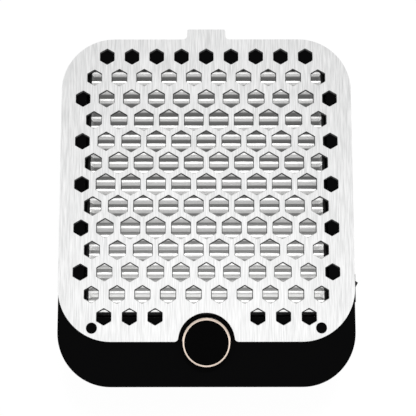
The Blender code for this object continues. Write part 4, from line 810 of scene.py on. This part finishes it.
@dataclass
class BodyShells:
    """The two moulded shells: the tray, and the deck with its filter well."""

    half_width: float = 0.1105
    half_length: float = 0.1312
    centre_y: float = -0.00355
    corner: float = 0.0400
    corner_steps: int = 20
    draft: float = 0.0008
    wall: float = 0.0025
    edge: float = 0.0003
    base_z: float = 0.0025
    base_round: float = 0.0090
    base_steps: int = 8
    base_margin: float = 0.0010
    parting_z: float = 0.0300
    upper_z: float = 0.0303
    deck_z: float = 0.0595
    deck_edge: float = 0.0007
    well_half_width: float = 0.0920
    well_half_length: float = 0.09545
    well_corner: float = 0.0057
    well_wall: float = 0.0018
    well_floor: float = 0.0323
    well_floor_edge: float = 0.0010
    well_rim_edge: float = 0.0005
    fan_x: float = -0.0140
    fan_opening: float = 0.0460
    guard_seat: float = 0.0487
    guard_floor: float = 0.0310
    pin_radius: float = 0.0037
    pin_top: float = 0.0611
    pin_edge: float = 0.0006
    pin_steps: int = 40
    window_size: tuple[float, float, float] = (0.0100, 0.0186, 0.0125)
    screw_places: tuple = ((0.0820, -0.11175), (0.1020, WELL_Y), (0.0780, 0.11745))
    recess_radius: float = 0.0034
    recess_depth: float = 0.0160
    stem_radius: float = 0.0031
    inlet_x: float = -0.0500
    inlet_z: float = 0.0180
    inlet_radius: float = 0.0041
    slot_size: tuple[float, float, float] = (0.0030, 0.0075, 0.0147)
    slot_count: int = 10
    slot_pitch: float = 0.0054
    slot_middle: float = 0.0440
    slot_z: float = 0.01985

    def body_row(self, inset: float, height: float) -> list[float]:
        """One ring of the body's outline, drawn in by an inset, as the values that rounded_loops takes."""
        return [self.half_width - inset, self.half_length - inset, self.corner - inset, 0.0, self.centre_y,
                height]

    def well_row(self, outset: float, height: float) -> list[float]:
        """One ring of the filter well's outline."""
        return [self.well_half_width + outset, self.well_half_length + outset, self.well_corner + outset, 0.0,
                WELL_Y, height]

    def fan_row(self, radius: float, height: float) -> list[float]:
        """One ring of the round fan opening."""
        return [radius, radius, radius, self.fan_x, WELL_Y, height]

    def bottom_rows(self, depth: float) -> list[list[float]]:
        """The rings of the rounded bottom at a depth in the wall, from the flat to the side.

        Args:
            depth: 0 for the outer skin, the wall for the inner one.

        Returns:
            The rings, the first one a little inside the flat.
        """
        radius, low = self.base_round - depth, self.base_z + depth
        turns = np.linspace(0, QUARTER_TURN, self.base_steps + 1)
        return [self.body_row(self.base_round + self.base_margin, low),
                *(self.body_row(depth + radius * (1 - math.sin(turn)), low + radius * (1 - math.cos(turn)))
                  for turn in turns)]

    def upper(self) -> bpy.types.Object:
        """The top shell as one closed skin, its section carried round from the fan opening to the outer wall.

        Returns:
            The piece, with the switch's window cut.
        """
        inner = self.deck_z - self.wall
        profile = soft_section([
            (self.fan_row(self.fan_opening, self.upper_z), 0.0),
            (self.fan_row(self.fan_opening, self.guard_floor), 0.0),
            (self.fan_row(self.guard_seat, self.guard_floor), 0.0),
            (self.fan_row(self.guard_seat, self.well_floor), self.edge),
            (self.well_row(0, self.well_floor), self.well_floor_edge),
            (self.well_row(0, self.deck_z), self.well_rim_edge),
            (self.body_row(0, self.deck_z), self.deck_edge),
            (self.body_row(-self.draft, self.upper_z), self.edge),
            (self.body_row(self.wall - self.draft, self.upper_z), self.edge),
            (self.body_row(self.wall, inner), 0.0),
            (self.well_row(self.well_wall, inner), 0.0),
            (self.well_row(self.well_wall, self.upper_z), 0.0),
        ])
        piece = lofted("upper_shell", rounded_loops(*profile.T, steps=self.corner_steps), closed=True)
        window = box_array(self.window_size, np.array([[self.half_width, SWITCH_Y, SWITCH_Z]]))
        return carved(piece, [window])

    def pins(self) -> bpy.types.Object:
        """The two black pins that locate the cover, each a rod with a rounded top.

        Returns:
            The piece.
        """
        low = self.deck_z - self.wall / 2
        profile = soft_section([((0, low), 0), ((self.pin_radius, low), 0),
                                ((self.pin_radius, self.pin_top), self.pin_edge), ((0, self.pin_top), 0)])
        return turned("locating_pins", profile, PIN_PLACES, self.pin_steps)

    def lower(self) -> bpy.types.Object:
        """The tray: outer and inner skins carried over the rounded bottom, with its holes cut.

        The cutters are the screw recesses, the exhaust slots, the feet's stems and the inlet's hole.

        Returns:
            The piece.
        """
        rim = [self.body_row(-self.draft, self.parting_z - self.edge),
               self.body_row(self.edge - self.draft, self.parting_z),
               self.body_row(self.wall - self.draft, self.parting_z)]
        rows = np.array([*self.bottom_rows(0), *rim, *self.bottom_rows(self.wall)[::-1]])
        piece = lofted("lower_shell", rounded_loops(*rows.T, steps=self.corner_steps), closed=False)
        back, under, through = self.centre_y + self.half_length, self.base_z - MM, 2 * self.wall
        screws = np.array([(side * x, y) for x, y in self.screw_places for side in (-1, 1)])
        slot_x = self.slot_middle + self.slot_pitch * (np.arange(self.slot_count) - (self.slot_count - 1) / 2)
        slots = np.array([(x, back, self.slot_z) for x in slot_x])
        rod, faces = rod_array(self.inlet_radius, -through, through, np.zeros((1, 2)))
        inlet = rod[:, [0, 2, 1]] + np.array([self.inlet_x, back, self.inlet_z])
        return carved(piece, [
            rod_array(self.recess_radius, under, self.base_z + self.recess_depth, screws),
            box_array(self.slot_size, slots),
            rod_array(self.stem_radius, under, self.base_z + through, np.array(FOOT_PLACES)),
            (inlet, faces),
        ])

    def build(self, dresser: Dresser) -> None:
        """Makes and dresses both shells and the pins.

        Args:
            dresser: puts the finishes on.
        """
        dresser.dress(self.upper(), SHELL, "base", "upper_housing")
        dresser.dress(self.pins(), SHELL, "base")
        dresser.dress(self.lower(), SHELL, "base", "lower_housing")


@dataclass
class CoverPlate:
    """The perforated steel cover: a sheet with hexagons, a finger tab and a cut-out for the knob.

    The holes are cut narrower towards the underside by the taper and lean to the front by the lean.
    """

    half_width: float = 0.1104
    front: float = -0.10175
    back: float = 0.12755
    bottom: float = 0.0598
    top: float = 0.0610
    corner: float = 0.0399
    corner_steps: int = 24
    tab_half: float = 0.0147
    tab_reach: float = 0.0079
    tab_fillet: float = 0.0030
    tab_corner: float = 0.0015
    tab_steps: int = 6
    cutout: float = 0.0209
    cutout_corner: float = 0.0030
    cutout_steps: int = 48
    pitch: float = 0.0190
    first_row: float = 0.11405
    outer_x: float = 0.0940
    small: float = 0.0111
    medium: float = 0.0120
    wide: float = 0.0130
    large: float = 0.0149
    hole_corner: float = 0.0005
    pin_hole: float = 0.0040
    pin_steps: int = 32
    rim: float = 0.00022
    rim_bend: float = 0.3
    taper: float = 0.0005
    lean: float = 0.0004
    sharp: float = math.radians(12)

    @staticmethod
    def arc(centre: tuple, radius: float, start: float, end: float, steps: int) -> Array:
        """Points on an arc, both ends included.

        Args:
            centre: the arc's centre.
            radius: its radius.
            start: the first angle, in right angles.
            end: the last angle, in right angles.
            steps: spaces along it.

        Returns:
            (points, 2).
        """
        turn = np.linspace(start, end, steps + 1) * QUARTER_TURN
        return np.asarray(centre) + radius * np.stack([np.cos(turn), np.sin(turn)], axis=-1)

    def outline(self) -> Array:
        """The sheet's edge, counter-clockwise from the front right corner.

        Returns:
            (points, 2).
        """
        x, r, many = self.half_width - self.corner, self.corner, self.corner_steps
        tip, tab, few = self.back + self.tab_reach - self.tab_corner, self.tab_half, self.tab_steps
        fillet, foot = self.tab_fillet, self.back + self.tab_fillet
        reach = self.cutout + self.cutout_corner
        low = self.front + self.cutout_corner
        rise = low - KNOB_Y
        lean = math.asin(rise / reach) / QUARTER_TURN
        turn_x = math.sqrt(reach ** 2 - rise ** 2)
        return np.concatenate([
            self.arc((x, self.front + r), r, -1, 0, many), self.arc((x, self.back - r), r, 0, 1, many),
            self.arc((tab + fillet, foot), fillet, 3, 2, few),
            self.arc((tab - self.tab_corner, tip), self.tab_corner, 0, 1, few),
            self.arc((self.tab_corner - tab, tip), self.tab_corner, 1, 2, few),
            self.arc((-tab - fillet, foot), fillet, 0, -1, few),
            self.arc((-x, self.back - r), r, 1, 2, many), self.arc((-x, self.front + r), r, 2, 3, many),
            self.arc((-turn_x, low), self.cutout_corner, -1, -lean, 8),
            self.arc((0, KNOB_Y), self.cutout, 2 - lean, lean, self.cutout_steps)[1:-1],
            self.arc((turn_x, low), self.cutout_corner, 2 + lean, 3, 8),
        ])

    def holes(self) -> list[Array]:
        """The hexagons, their corners rounded, and the two pin holes, each clockwise seen from above.

        Each row lists its sizes from the middle outwards, and both halves of the plate have it. Odd rows
        start half a pitch from the middle. The front rows repeat the back ones the other way round.

        Returns:
            One (points, 2) loop a hole.
        """
        s, m, w, g = self.small, self.medium, self.wide, self.large
        back_half = [[s] * 5, [m] * 4 + [s], [w] * 4 + [m, s], [g] * 3 + [w, m], [g] * 4 + [w, s],
                     [g] * 4 + [w]]
        rows = back_half + [[g] * 5 + [s]] + back_half[:0:-1] + [[0, 0, s, s, s]]
        spots = [(min((step + row % 2 / 2) * self.pitch, self.outer_x) * side,
                  self.first_row - row * self.pitch * math.sqrt(3) / 2, flats)
                 for row, sizes in enumerate(rows) for step, flats in enumerate(sizes) if flats
                 for side in ((1, -1) if step or row % 2 else (1,))]
        turn = np.linspace(0, FULL_TURN, 6, endpoint=False) + QUARTER_TURN
        unit = np.stack([np.cos(turn), np.sin(turn)], axis=-1) / math.sqrt(3)
        reach = np.full(6, self.hole_corner)
        loops = [softened(np.array([x, y]) + flats * unit, reach, steps=2, hold=1.0)[::-1]
                 for x, y, flats in spots]
        circle = self.arc((0, 0), self.pin_hole, 0, 4, self.pin_steps)[:-1][::-1]
        return loops + [circle + np.array(place) for place in PIN_PLACES]

    def build(self, dresser: Dresser) -> None:
        """Carries the rim's section round every edge, fills each face between them, and dresses the sheet.

        The section has six rings from the lower face to the upper one. In a hole the three lower rings are
        drawn in by the taper and moved to the front by the lean.

        Args:
            dresser: puts the finishes on.
        """
        loops = [self.outline(), *self.holes()]
        loops = [loop[np.linalg.norm(np.roll(loop, 1, axis=0) - loop, axis=1) > SAME_PLACE] for loop in loops]
        e, bend = self.rim, self.rim_bend * self.rim
        inset = np.array([-e, -bend, 0, 0, -bend, -e])
        height = np.array([self.bottom, self.bottom + bend, self.bottom + e, self.top - e, self.top - bend,
                           self.top])
        lower = np.array([1, 1, 1, 0, 0, 0])
        shift = np.array([0, -self.lean]) * lower.reshape(-1, 1, 1)
        points, faces, rims, offset = [], [], [], 0
        for number, loop in enumerate(loops):
            rings = grown(loop, inset + self.taper * lower) + shift if number else grown(loop, inset)
            up = np.broadcast_to(height.reshape(-1, 1, 1), (*rings.shape[:2], 1))
            points.append(np.concatenate([rings, up], axis=-1).reshape(-1, 3))
            faces.append(grid_faces(len(height), len(loop), False) + offset)
            rims.append(((rings[0], offset), (rings[-1], offset + len(loop) * (len(height) - 1))))
            offset += len(loop) * len(height)
        every = np.concatenate(faces).tolist()
        for side in zip(*rims):
            flat = [[Vector((x, y, 0)) for x, y in ring] for ring, _ in side]
            numbers = np.concatenate([start + np.arange(len(ring)) for ring, start in side])
            every += numbers[np.array(tessellate_polygon(flat))].tolist()
        piece = finished_mesh("perforated_cover", np.concatenate(points), every, self.sharp)
        dresser.dress(piece, STEEL, "cover", "cover_plate")


@dataclass
class PleatedFilter:
    """The filter cartridge: folded white sheet in a black frame on a foam seal.

    The sheet's walls sway and dip by sums of sines, each given as its size, its waves along X and its step
    from fold to fold.
    """

    pleats: int = 26
    fold_shift: float = 0.00035
    top: float = 0.0530
    foot: float = 0.0367
    half_width: float = 0.0891
    half_length: float = 0.0918
    columns: int = 48
    fold_radius: float = 0.00075
    sheet: float = 0.0005
    edge: float = 0.0008
    sways: tuple = ((0.00006, 55.0, 2.4), (0.00004, 131.0, 5.1))
    dip: tuple[float, float, float] = (0.00004, 90.0, 3.3)
    calm: float = 12.0
    strip_thickness: float = 0.0004
    strip_drop: float = 0.0009
    frame_half_width: float = 0.0913
    frame_half_length: float = 0.09475
    frame_corner: float = 0.0050
    frame_corner_steps: int = 8
    frame_wall: float = 0.0018
    frame_bottom: float = 0.0352
    frame_top: float = 0.0538
    frame_edge: float = 0.0006
    lip: float = 0.0040
    lip_thickness: float = 0.0012
    lip_edge: float = 0.0003
    rib_width: float = 0.0030
    rib_thickness: float = 0.001176
    rib_count: int = 3
    seal_bottom: float = 0.0326
    seal_top: float = 0.0349
    seal_width: float = 0.0060
    seal_edge: float = 0.0007
    seal_corner: float = 0.0010

    def section(self, arc_steps: int = 6, wall_steps: int = 8) -> Array:
        """The fold line: arcs over the ridges and under the valleys, joined by straight walls.

        The wall is the inner tangent of a ridge's and a valley's circle: it leans from upright by the angle
        of the line between their centres less the arcsine of the circles' width over that line's length.

        Args:
            arc_steps: spaces along each quarter fold.
            wall_steps: spaces along each wall.

        Returns:
            (points, 2) as length and height, from the front ridge to the back one.
        """
        half, r = PLEAT_PITCH / 2, self.fold_radius
        drop = self.top - self.foot - 2 * r
        lean = math.atan2(half, drop) - math.asin(2 * r / math.hypot(half, drop))
        ridge = np.linspace(QUARTER_TURN, lean, arc_steps + 1)
        over = np.stack([r * np.cos(ridge), self.top - r + r * np.sin(ridge)], axis=-1)
        under = np.stack([half - r * np.cos(ridge[::-1]), self.foot + r - r * np.sin(ridge[::-1])], axis=-1)
        share = np.linspace(0, 1, wall_steps + 1)[1:-1, None]
        down = np.concatenate([over, over[-1] + share * (under[0] - over[-1]), under])
        up = np.stack([PLEAT_PITCH - down[::-1, 0], down[::-1, 1]], axis=-1)[1:-1]
        one = np.concatenate([down, up])
        shifts = PLEAT_PITCH * np.arange(self.pleats).reshape(-1, 1, 1) * np.array([1.0, 0.0])
        line = (one[None] + shifts).reshape(-1, 2)
        line = np.concatenate([line, [[PLEAT_PITCH * self.pleats, self.top]]])
        line[:, 0] += WELL_Y + self.fold_shift - PLEAT_PITCH * self.pleats / 2
        front, back = line[0] - [self.edge, 0], line[-1] + [self.edge, 0]
        return np.concatenate([[front], line, [back]])

    def media(self) -> bpy.types.Object:
        """The folded sheet: the fold line carried along X, its folds swaying and dipping a little.

        Both grow from nothing in the valleys to their full size on the ridges. The sway fades out near
        the sheet's front and back, over the last part of the half length, one over calm.

        Returns:
            The piece.
        """
        line = self.section()
        x = np.linspace(-self.half_width, self.half_width, self.columns + 1)[:, None]
        along, up = line[None, :, 0], line[None, :, 1]
        fold = np.round((along - WELL_Y) / PLEAT_PITCH)
        high = np.clip((up - self.foot) / (self.top - self.foot), 0, 1)
        still = 1 - np.clip(np.abs(along - WELL_Y) / self.half_length * self.calm - (self.calm - 1), 0, 1)
        sway = sum(size * np.sin(x * waves + fold * step) for size, waves, step in self.sways)
        size, waves, step = self.dip
        y = along + sway * high * still
        z = up - size * (1 + np.sin(x * waves + fold * step)) * high
        points = np.stack([np.broadcast_to(x, y.shape), y, z], axis=-1)
        rows, columns = points.shape[:2]
        row, column = np.arange(rows - 1)[:, None], np.arange(columns - 1)[None, :]
        first = row * columns + column
        faces = np.stack([first, first + columns, first + columns + 1, first + 1], axis=-1).reshape(-1, 4)
        mesh = bpy.data.meshes.new("pleated_media")
        mesh.from_pydata(points.reshape(-1, 3).tolist(), [], faces.tolist())
        mesh.shade_smooth()
        piece = bpy.data.objects.new("pleated_media", mesh)
        bpy.context.scene.collection.objects.link(piece)
        thick = piece.modifiers.new("sheet", "SOLIDIFY")
        thick.thickness = self.sheet
        thick.offset = -1
        return piece

    def edge_strips(self) -> bpy.types.Object:
        """The two thin strips that close the folds' ends.

        Returns:
            The piece.
        """
        high = self.top - self.strip_drop
        size = (self.strip_thickness, PLEAT_PITCH * self.pleats, high - self.foot)
        x, y, z = self.half_width - self.strip_thickness / 2, WELL_Y + self.fold_shift, (self.foot + high) / 2
        return finished_mesh("media_edge_strips", *box_array(size, np.array([[-x, y, z], [x, y, z]])))

    def row(self, inset: float, height: float, least: float) -> list[float]:
        """One ring of the cartridge's outline, drawn in by an inset, its corner no tighter than the least."""
        return [self.frame_half_width - inset, self.frame_half_length - inset,
                max(self.frame_corner - inset, least), 0.0, WELL_Y, height]

    def frame_ring(self) -> bpy.types.Object:
        """The frame: its section, a wall with a lip under the sheet, carried round the cartridge.

        Returns:
            The piece.
        """
        wall, lip, soft = self.frame_wall, self.frame_wall + self.lip, self.frame_edge
        step = self.frame_bottom + self.lip_thickness
        corners = ((0, self.frame_bottom, soft), (0, self.frame_top, soft), (wall, self.frame_top, soft),
                   (wall, step, 0.0), (lip, step, self.lip_edge), (lip, self.frame_bottom, self.lip_edge))
        profile = soft_section([(self.row(inset, height, soft), reach) for inset, height, reach in corners])
        rings = rounded_loops(*profile.T, steps=self.frame_corner_steps)
        return lofted("cartridge_frame", rings, closed=True)

    def ribs(self) -> bpy.types.Object:
        """The bars across the frame's underside.

        Returns:
            The piece.
        """
        inner = self.frame_half_width - self.frame_wall - self.lip
        pitch = (2 * inner + self.rib_width) / (self.rib_count + 1)
        middle = self.frame_bottom + self.lip_thickness / 2
        size = (self.rib_width, 2 * (self.frame_half_length - self.frame_wall - self.lip), self.rib_thickness)
        centres = np.array([(pitch * (number - (self.rib_count - 1) / 2), WELL_Y, middle)
                            for number in range(self.rib_count)])
        return finished_mesh("cartridge_ribs", *box_array(size, centres))

    def seal(self) -> bpy.types.Object:
        """The foam ring, its section a soft-edged strip.

        Returns:
            The piece.
        """
        corners = ((0, self.seal_bottom), (0, self.seal_top), (self.seal_width, self.seal_top),
                   (self.seal_width, self.seal_bottom))
        profile = soft_section([(self.row(*corner, self.seal_corner), self.seal_edge) for corner in corners])
        return lofted("foam_ring", rounded_loops(*profile.T, steps=self.frame_corner_steps), closed=True)

    def build(self, dresser: Dresser) -> None:
        """Makes and dresses the cartridge.

        Args:
            dresser: puts the finishes on.
        """
        dresser.dress(self.media(), MEDIA, "filter", "filter_media")
        dresser.dress(self.edge_strips(), MEDIA, "filter")
        dresser.dress(self.frame_ring(), FRAME, "filter", "filter_frame")
        dresser.dress(self.ribs(), FRAME, "filter")
        dresser.dress(self.seal(), FOAM, "filter", "filter_seal")


@dataclass
class SpeedKnob:
    """The speed knob: a black cap with a rose-gold bevel round its top."""

    top: float = 0.0670
    bottom: float = 0.0603
    face_radius: float = 0.0160
    outer_radius: float = 0.0178
    bevel_drop: float = 0.0020
    bevel_steps: int = 12
    band: float = 0.0006
    skirt: float = 0.0016
    roof: float = 0.0626
    fit: float = 0.0002
    face_edge: float = 0.00025
    shoulder_edge: float = 0.00015
    skirt_edge: float = 0.0004
    roof_edge: float = 0.0003
    steps: int = 96

    def build(self, dresser: Dresser) -> None:
        """Turns the cap and the bevel from their sections and dresses them.

        Args:
            dresser: puts the finishes on.
        """
        foot = self.top - self.bevel_drop - self.band
        face, outer, inner = self.face_radius, self.outer_radius, self.outer_radius - self.skirt
        cap = soft_section([
            ((0, self.top), 0), ((face, self.top), self.face_edge), ((face, foot), 0),
            ((outer, foot), self.shoulder_edge), ((outer, self.bottom), self.skirt_edge),
            ((inner, self.bottom), self.skirt_edge), ((inner, self.roof), self.roof_edge),
            ((0, self.roof), 0),
        ])
        dresser.dress(turned("knob_cap", cap, [(0, KNOB_Y)], self.steps), KNOB, "knob", "speed_knob")
        turn = np.linspace(0, QUARTER_TURN, self.bevel_steps + 1)
        start, low = face + self.fit, foot + self.fit
        bevel = np.stack([start + (outer - start) * np.sin(turn),
                          self.top - self.bevel_drop * (1 - np.cos(turn))], axis=-1)
        ring = np.concatenate([bevel, [[outer, low], [start, low]]])
        dresser.dress(turned("rose_bevel_ring", ring, [(0, KNOB_Y)], self.steps), ROSE, "knob", "knob_ring")


@dataclass
class RockerSwitch:
    """The two-way rocker in the right wall. Its bezel and body keep the CAD solid's shape."""

    pivot_x: float = 0.108586
    half_throw: float = math.radians(15)
    half_length: float = 0.0054
    half_width: float = 0.00425
    face_height: float = 0.0033
    flare: float = 0.0012
    skirt: float = 0.0012
    keel: float = 0.0024
    keel_half: float = 0.0027
    valley_edge: float = 0.0006
    tip_edge: float = 0.0003
    skirt_edge: float = 0.0004
    keel_edge: float = 0.0005
    edge: float = 0.0004

    def rocker_plan(self) -> Array:
        """The rocker in plan: two faces that meet in a shallow valley over a keel, turned by half the throw.

        Returns:
            (points, 2) as X and Y, counter-clockwise.
        """
        tip = self.face_height + self.half_length * math.tan(self.half_throw)
        half = [((self.half_length, tip), self.tip_edge),
                ((self.half_length + self.flare, self.skirt), self.skirt_edge),
                ((self.keel_half, -self.keel), self.keel_edge)]
        mirrored = [((-x, height), reach) for (x, height), reach in half]
        soft = soft_section([((0, self.face_height), self.valley_edge), *mirrored, *half[::-1]], hold=1.0)
        cos, sin = math.cos(self.half_throw), math.sin(self.half_throw)
        placed = soft[:, ::-1] @ np.array([[cos, -sin], [sin, cos]]) + [self.pivot_x, SWITCH_Y]
        return placed[::-1]

    def build(self, dresser: Dresser) -> None:
        """Makes the rocker and dresses it.

        Args:
            dresser: puts the finishes on.
        """
        low, high = SWITCH_Z - self.half_width, SWITCH_Z + self.half_width
        rocker = extruded("rocker_key", self.rocker_plan(), low, high, self.edge)
        dresser.dress(rocker, ROCKER, "rocker", "switch_rocker")


@dataclass
class Feet:
    """The four rubber feet, each with a barbed stem that holds it in the tray."""

    radius: float = 0.0090
    flat_radius: float = 0.0080
    flat_height: float = 0.0010
    top: float = 0.0022
    edge: float = 0.0003
    stem_radius: float = 0.0028
    barb_z: float = 0.0053
    barb_radius: float = 0.0034
    tip_radius: float = 0.0020
    tip_z: float = 0.0065
    barb_edge: float = 0.0002
    steps: int = 48

    def build(self, dresser: Dresser) -> None:
        """Turns each foot from its section and dresses it.

        Args:
            dresser: puts the finishes on.
        """
        profile = soft_section([
            ((0, 0), 0), ((self.flat_radius, 0), self.edge), ((self.radius, self.flat_height), self.edge),
            ((self.radius, self.top), self.edge), ((self.stem_radius, self.top), 0),
            ((self.stem_radius, self.barb_z), 0), ((self.barb_radius, self.barb_z), self.barb_edge),
            ((self.tip_radius, self.tip_z), self.barb_edge), ((0, self.tip_z), 0),
        ])
        for number, place in enumerate(FOOT_PLACES, 1):
            foot = turned(f"rubber_foot_{number}", profile, [place], self.steps)
            dresser.dress(foot, RUBBER, "base", f"foot_{number}")


class InnerParts:
    """The CAD pieces that keep their shape and get a finish."""

    finishes = {
        "fan_guard": FAN_PLASTIC, "fan_housing": FAN_PLASTIC, "fan_cover": FAN_PLASTIC,
        "fan_impeller": FAN_PLASTIC, "rotor_cup": TURNED_STEEL, "rotor_magnet": IRON,
        "motor_shaft": TURNED_STEEL, "shaft_clip": ZINC, "bearing_tube": BRASS, "bearing_lower": TURNED_STEEL,
        "bearing_upper": TURNED_STEEL, "stator_core": IRON, "motor_board": BOARD, "potentiometer": ZINC,
        "potentiometer_shaft": ZINC, "potentiometer_washer": ZINC, "potentiometer_nut": ZINC,
        "switch_frame": ROCKER, "switch_terminal_1": BRASS, "switch_terminal_2": BRASS,
        "inlet_socket": ROCKER, "inlet_pin": ZINC, "inlet_nut": ZINC, "control_board": BOARD, "board_capacitor": CAN,
        "board_heat_sink": SINK, "board_connector": PLUG, "motor_lead": RED_LEAD, "switch_lead": RED_LEAD,
        "inlet_lead": BLACK_LEAD, "speed_lead": BLACK_LEAD,
    }

    def build(self, dresser: Dresser) -> None:
        """Paints every CAD node that stays.

        Args:
            dresser: puts the finishes on.
        """
        for node, finish in self.finishes.items():
            dresser.paint(node, finish)
        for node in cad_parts:
            if "_screw_" in node:
                dresser.paint(node, ZINC)


@dataclass
class Studio:
    """The floor, the lamp, the white surroundings and the photograph's camera.

    The three sky runs give the brightness that metal mirrors, each as start, end, low and high: two along Y,
    of which the darker one counts, times one by the distance from the middle along X.
    """

    camera_place: tuple[float, float, float] = (0.00118, -0.03936, 0.49328)
    camera_turn: tuple[float, float, float] = (math.radians(4.84), 0.0, math.radians(-0.066))
    lens: float = 50.0
    sensor: float = 36.0
    clip_start: float = 0.01
    floor_size: float = 6.0
    floor_z: float = -0.0001
    floor_tone: float = 0.9
    floor_white: float = 0.96
    key_place: tuple[float, float, float] = (0.10, 0.70, 1.15)
    key_size: float = 0.25
    key_power: float = 13.0
    ambient: float = 0.95
    sky_back: tuple[float, float, float, float] = (-0.12, 0.45, 1.11, 0.74)
    sky_front: tuple[float, float, float, float] = (-0.75, -0.30, 0.72, 1.11)
    sky_middle: tuple[float, float, float, float] = (0.13, 0.22, 1.13, 0.94)

    def floor(self) -> None:
        """A wide pale floor that lets the object's shadow show and otherwise renders white."""
        half = self.floor_size / 2
        corners = ((-1, -1), (1, -1), (1, 1), (-1, 1))
        points = np.array([[x * half, y * half, self.floor_z] for x, y in corners])
        floor = finished_mesh("floor", points, [[0, 1, 2, 3]])
        material = bpy.data.materials.new("pale_floor")
        material.use_nodes = True
        graph = Graph(material.node_tree)
        plain = graph.add("BsdfDiffuse", {"Color": (*[self.floor_tone] * 3, 1.0)})
        white = graph.add("Emission", {"Color": (1, 1, 1, 1), "Strength": 1.0})
        share = graph.maths("MULTIPLY", graph.add("LightPath").outputs["Is Camera Ray"], self.floor_white)
        mixed = graph.add("MixShader", {0: share, 1: plain.outputs[0], 2: white.outputs[0]})
        graph.add("OutputMaterial", {"Surface": mixed.outputs[0]})
        floor.data.materials.append(material)

    def surroundings(self) -> None:
        """A grey sky for light, white to the camera and, in metal, brightest over the object's middle."""
        world = bpy.data.worlds.new("white_room")
        bpy.context.scene.world = world
        world.use_nodes = True
        graph = Graph(world.node_tree)
        path = graph.add("LightPath").outputs
        toward = graph.add("SeparateXYZ", {"Vector": graph.add("TexCoord").outputs["Generated"]}).outputs
        back, front = (graph.ramp(toward["Y"], *run) for run in (self.sky_back, self.sky_front))
        middle = graph.ramp(graph.maths("ABSOLUTE", toward["X"]), *self.sky_middle)
        fade = graph.maths("MULTIPLY", graph.maths("MINIMUM", back, front), middle)
        mirror = graph.maths("MULTIPLY", path["Is Glossy Ray"], fade)
        seen = graph.maths("MAXIMUM", path["Is Camera Ray"], path["Is Transmission Ray"])
        dull = graph.maths("SUBTRACT", 1.0, path["Is Glossy Ray"])
        plain = graph.maths("MULTIPLY", dull, self.ambient)
        strength = graph.maths("MAXIMUM", graph.maths("MAXIMUM", seen, mirror), plain)
        sky = graph.add("Background", {"Color": (1, 1, 1, 1), "Strength": strength})
        graph.add("OutputWorld", {"Surface": sky.outputs[0]})

    def lamp(self) -> None:
        """One soft lamp behind and over the back edge, so that each hole's back edge shades the folds."""
        data = bpy.data.lights.new("key", "AREA")
        data.energy = self.key_power
        data.size = self.key_size
        lamp = bpy.data.objects.new("key", data)
        lamp.location = self.key_place
        lamp.visible_glossy = False
        lamp.rotation_euler = (-Vector(self.key_place)).to_track_quat("-Z", "Y").to_euler()
        bpy.context.scene.collection.objects.link(lamp)

    def camera(self) -> None:
        """The camera at the photograph's place: above the knob's half, tipped towards the back."""
        data = bpy.data.cameras.new("camera")
        data.lens = self.lens
        data.sensor_width = self.sensor
        data.clip_start = self.clip_start
        view = bpy.data.objects.new("camera", data)
        view.location = self.camera_place
        view.rotation_euler = self.camera_turn
        bpy.context.scene.collection.objects.link(view)
        bpy.context.scene.camera = view

    def build(self) -> None:
        """Sets the stage and the plain view transform."""
        self.camera()
        self.floor()
        self.surroundings()
        self.lamp()
        bpy.context.scene.view_settings.view_transform = "Standard"


def main() -> None:
    """Builds the studio and each sub-assembly in order."""
    logging.basicConfig(level=logging.INFO, format="%(message)s")
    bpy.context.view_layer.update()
    Studio().build()
    dresser = Dresser()
    for assembly in (BodyShells(), CoverPlate(), PleatedFilter(), SpeedKnob(), RockerSwitch(), Feet(),
                     InnerParts()):
        assembly.build(dresser)
        log.info("%s is built", type(assembly).__name__)


if __name__ == "__main__":
    main()
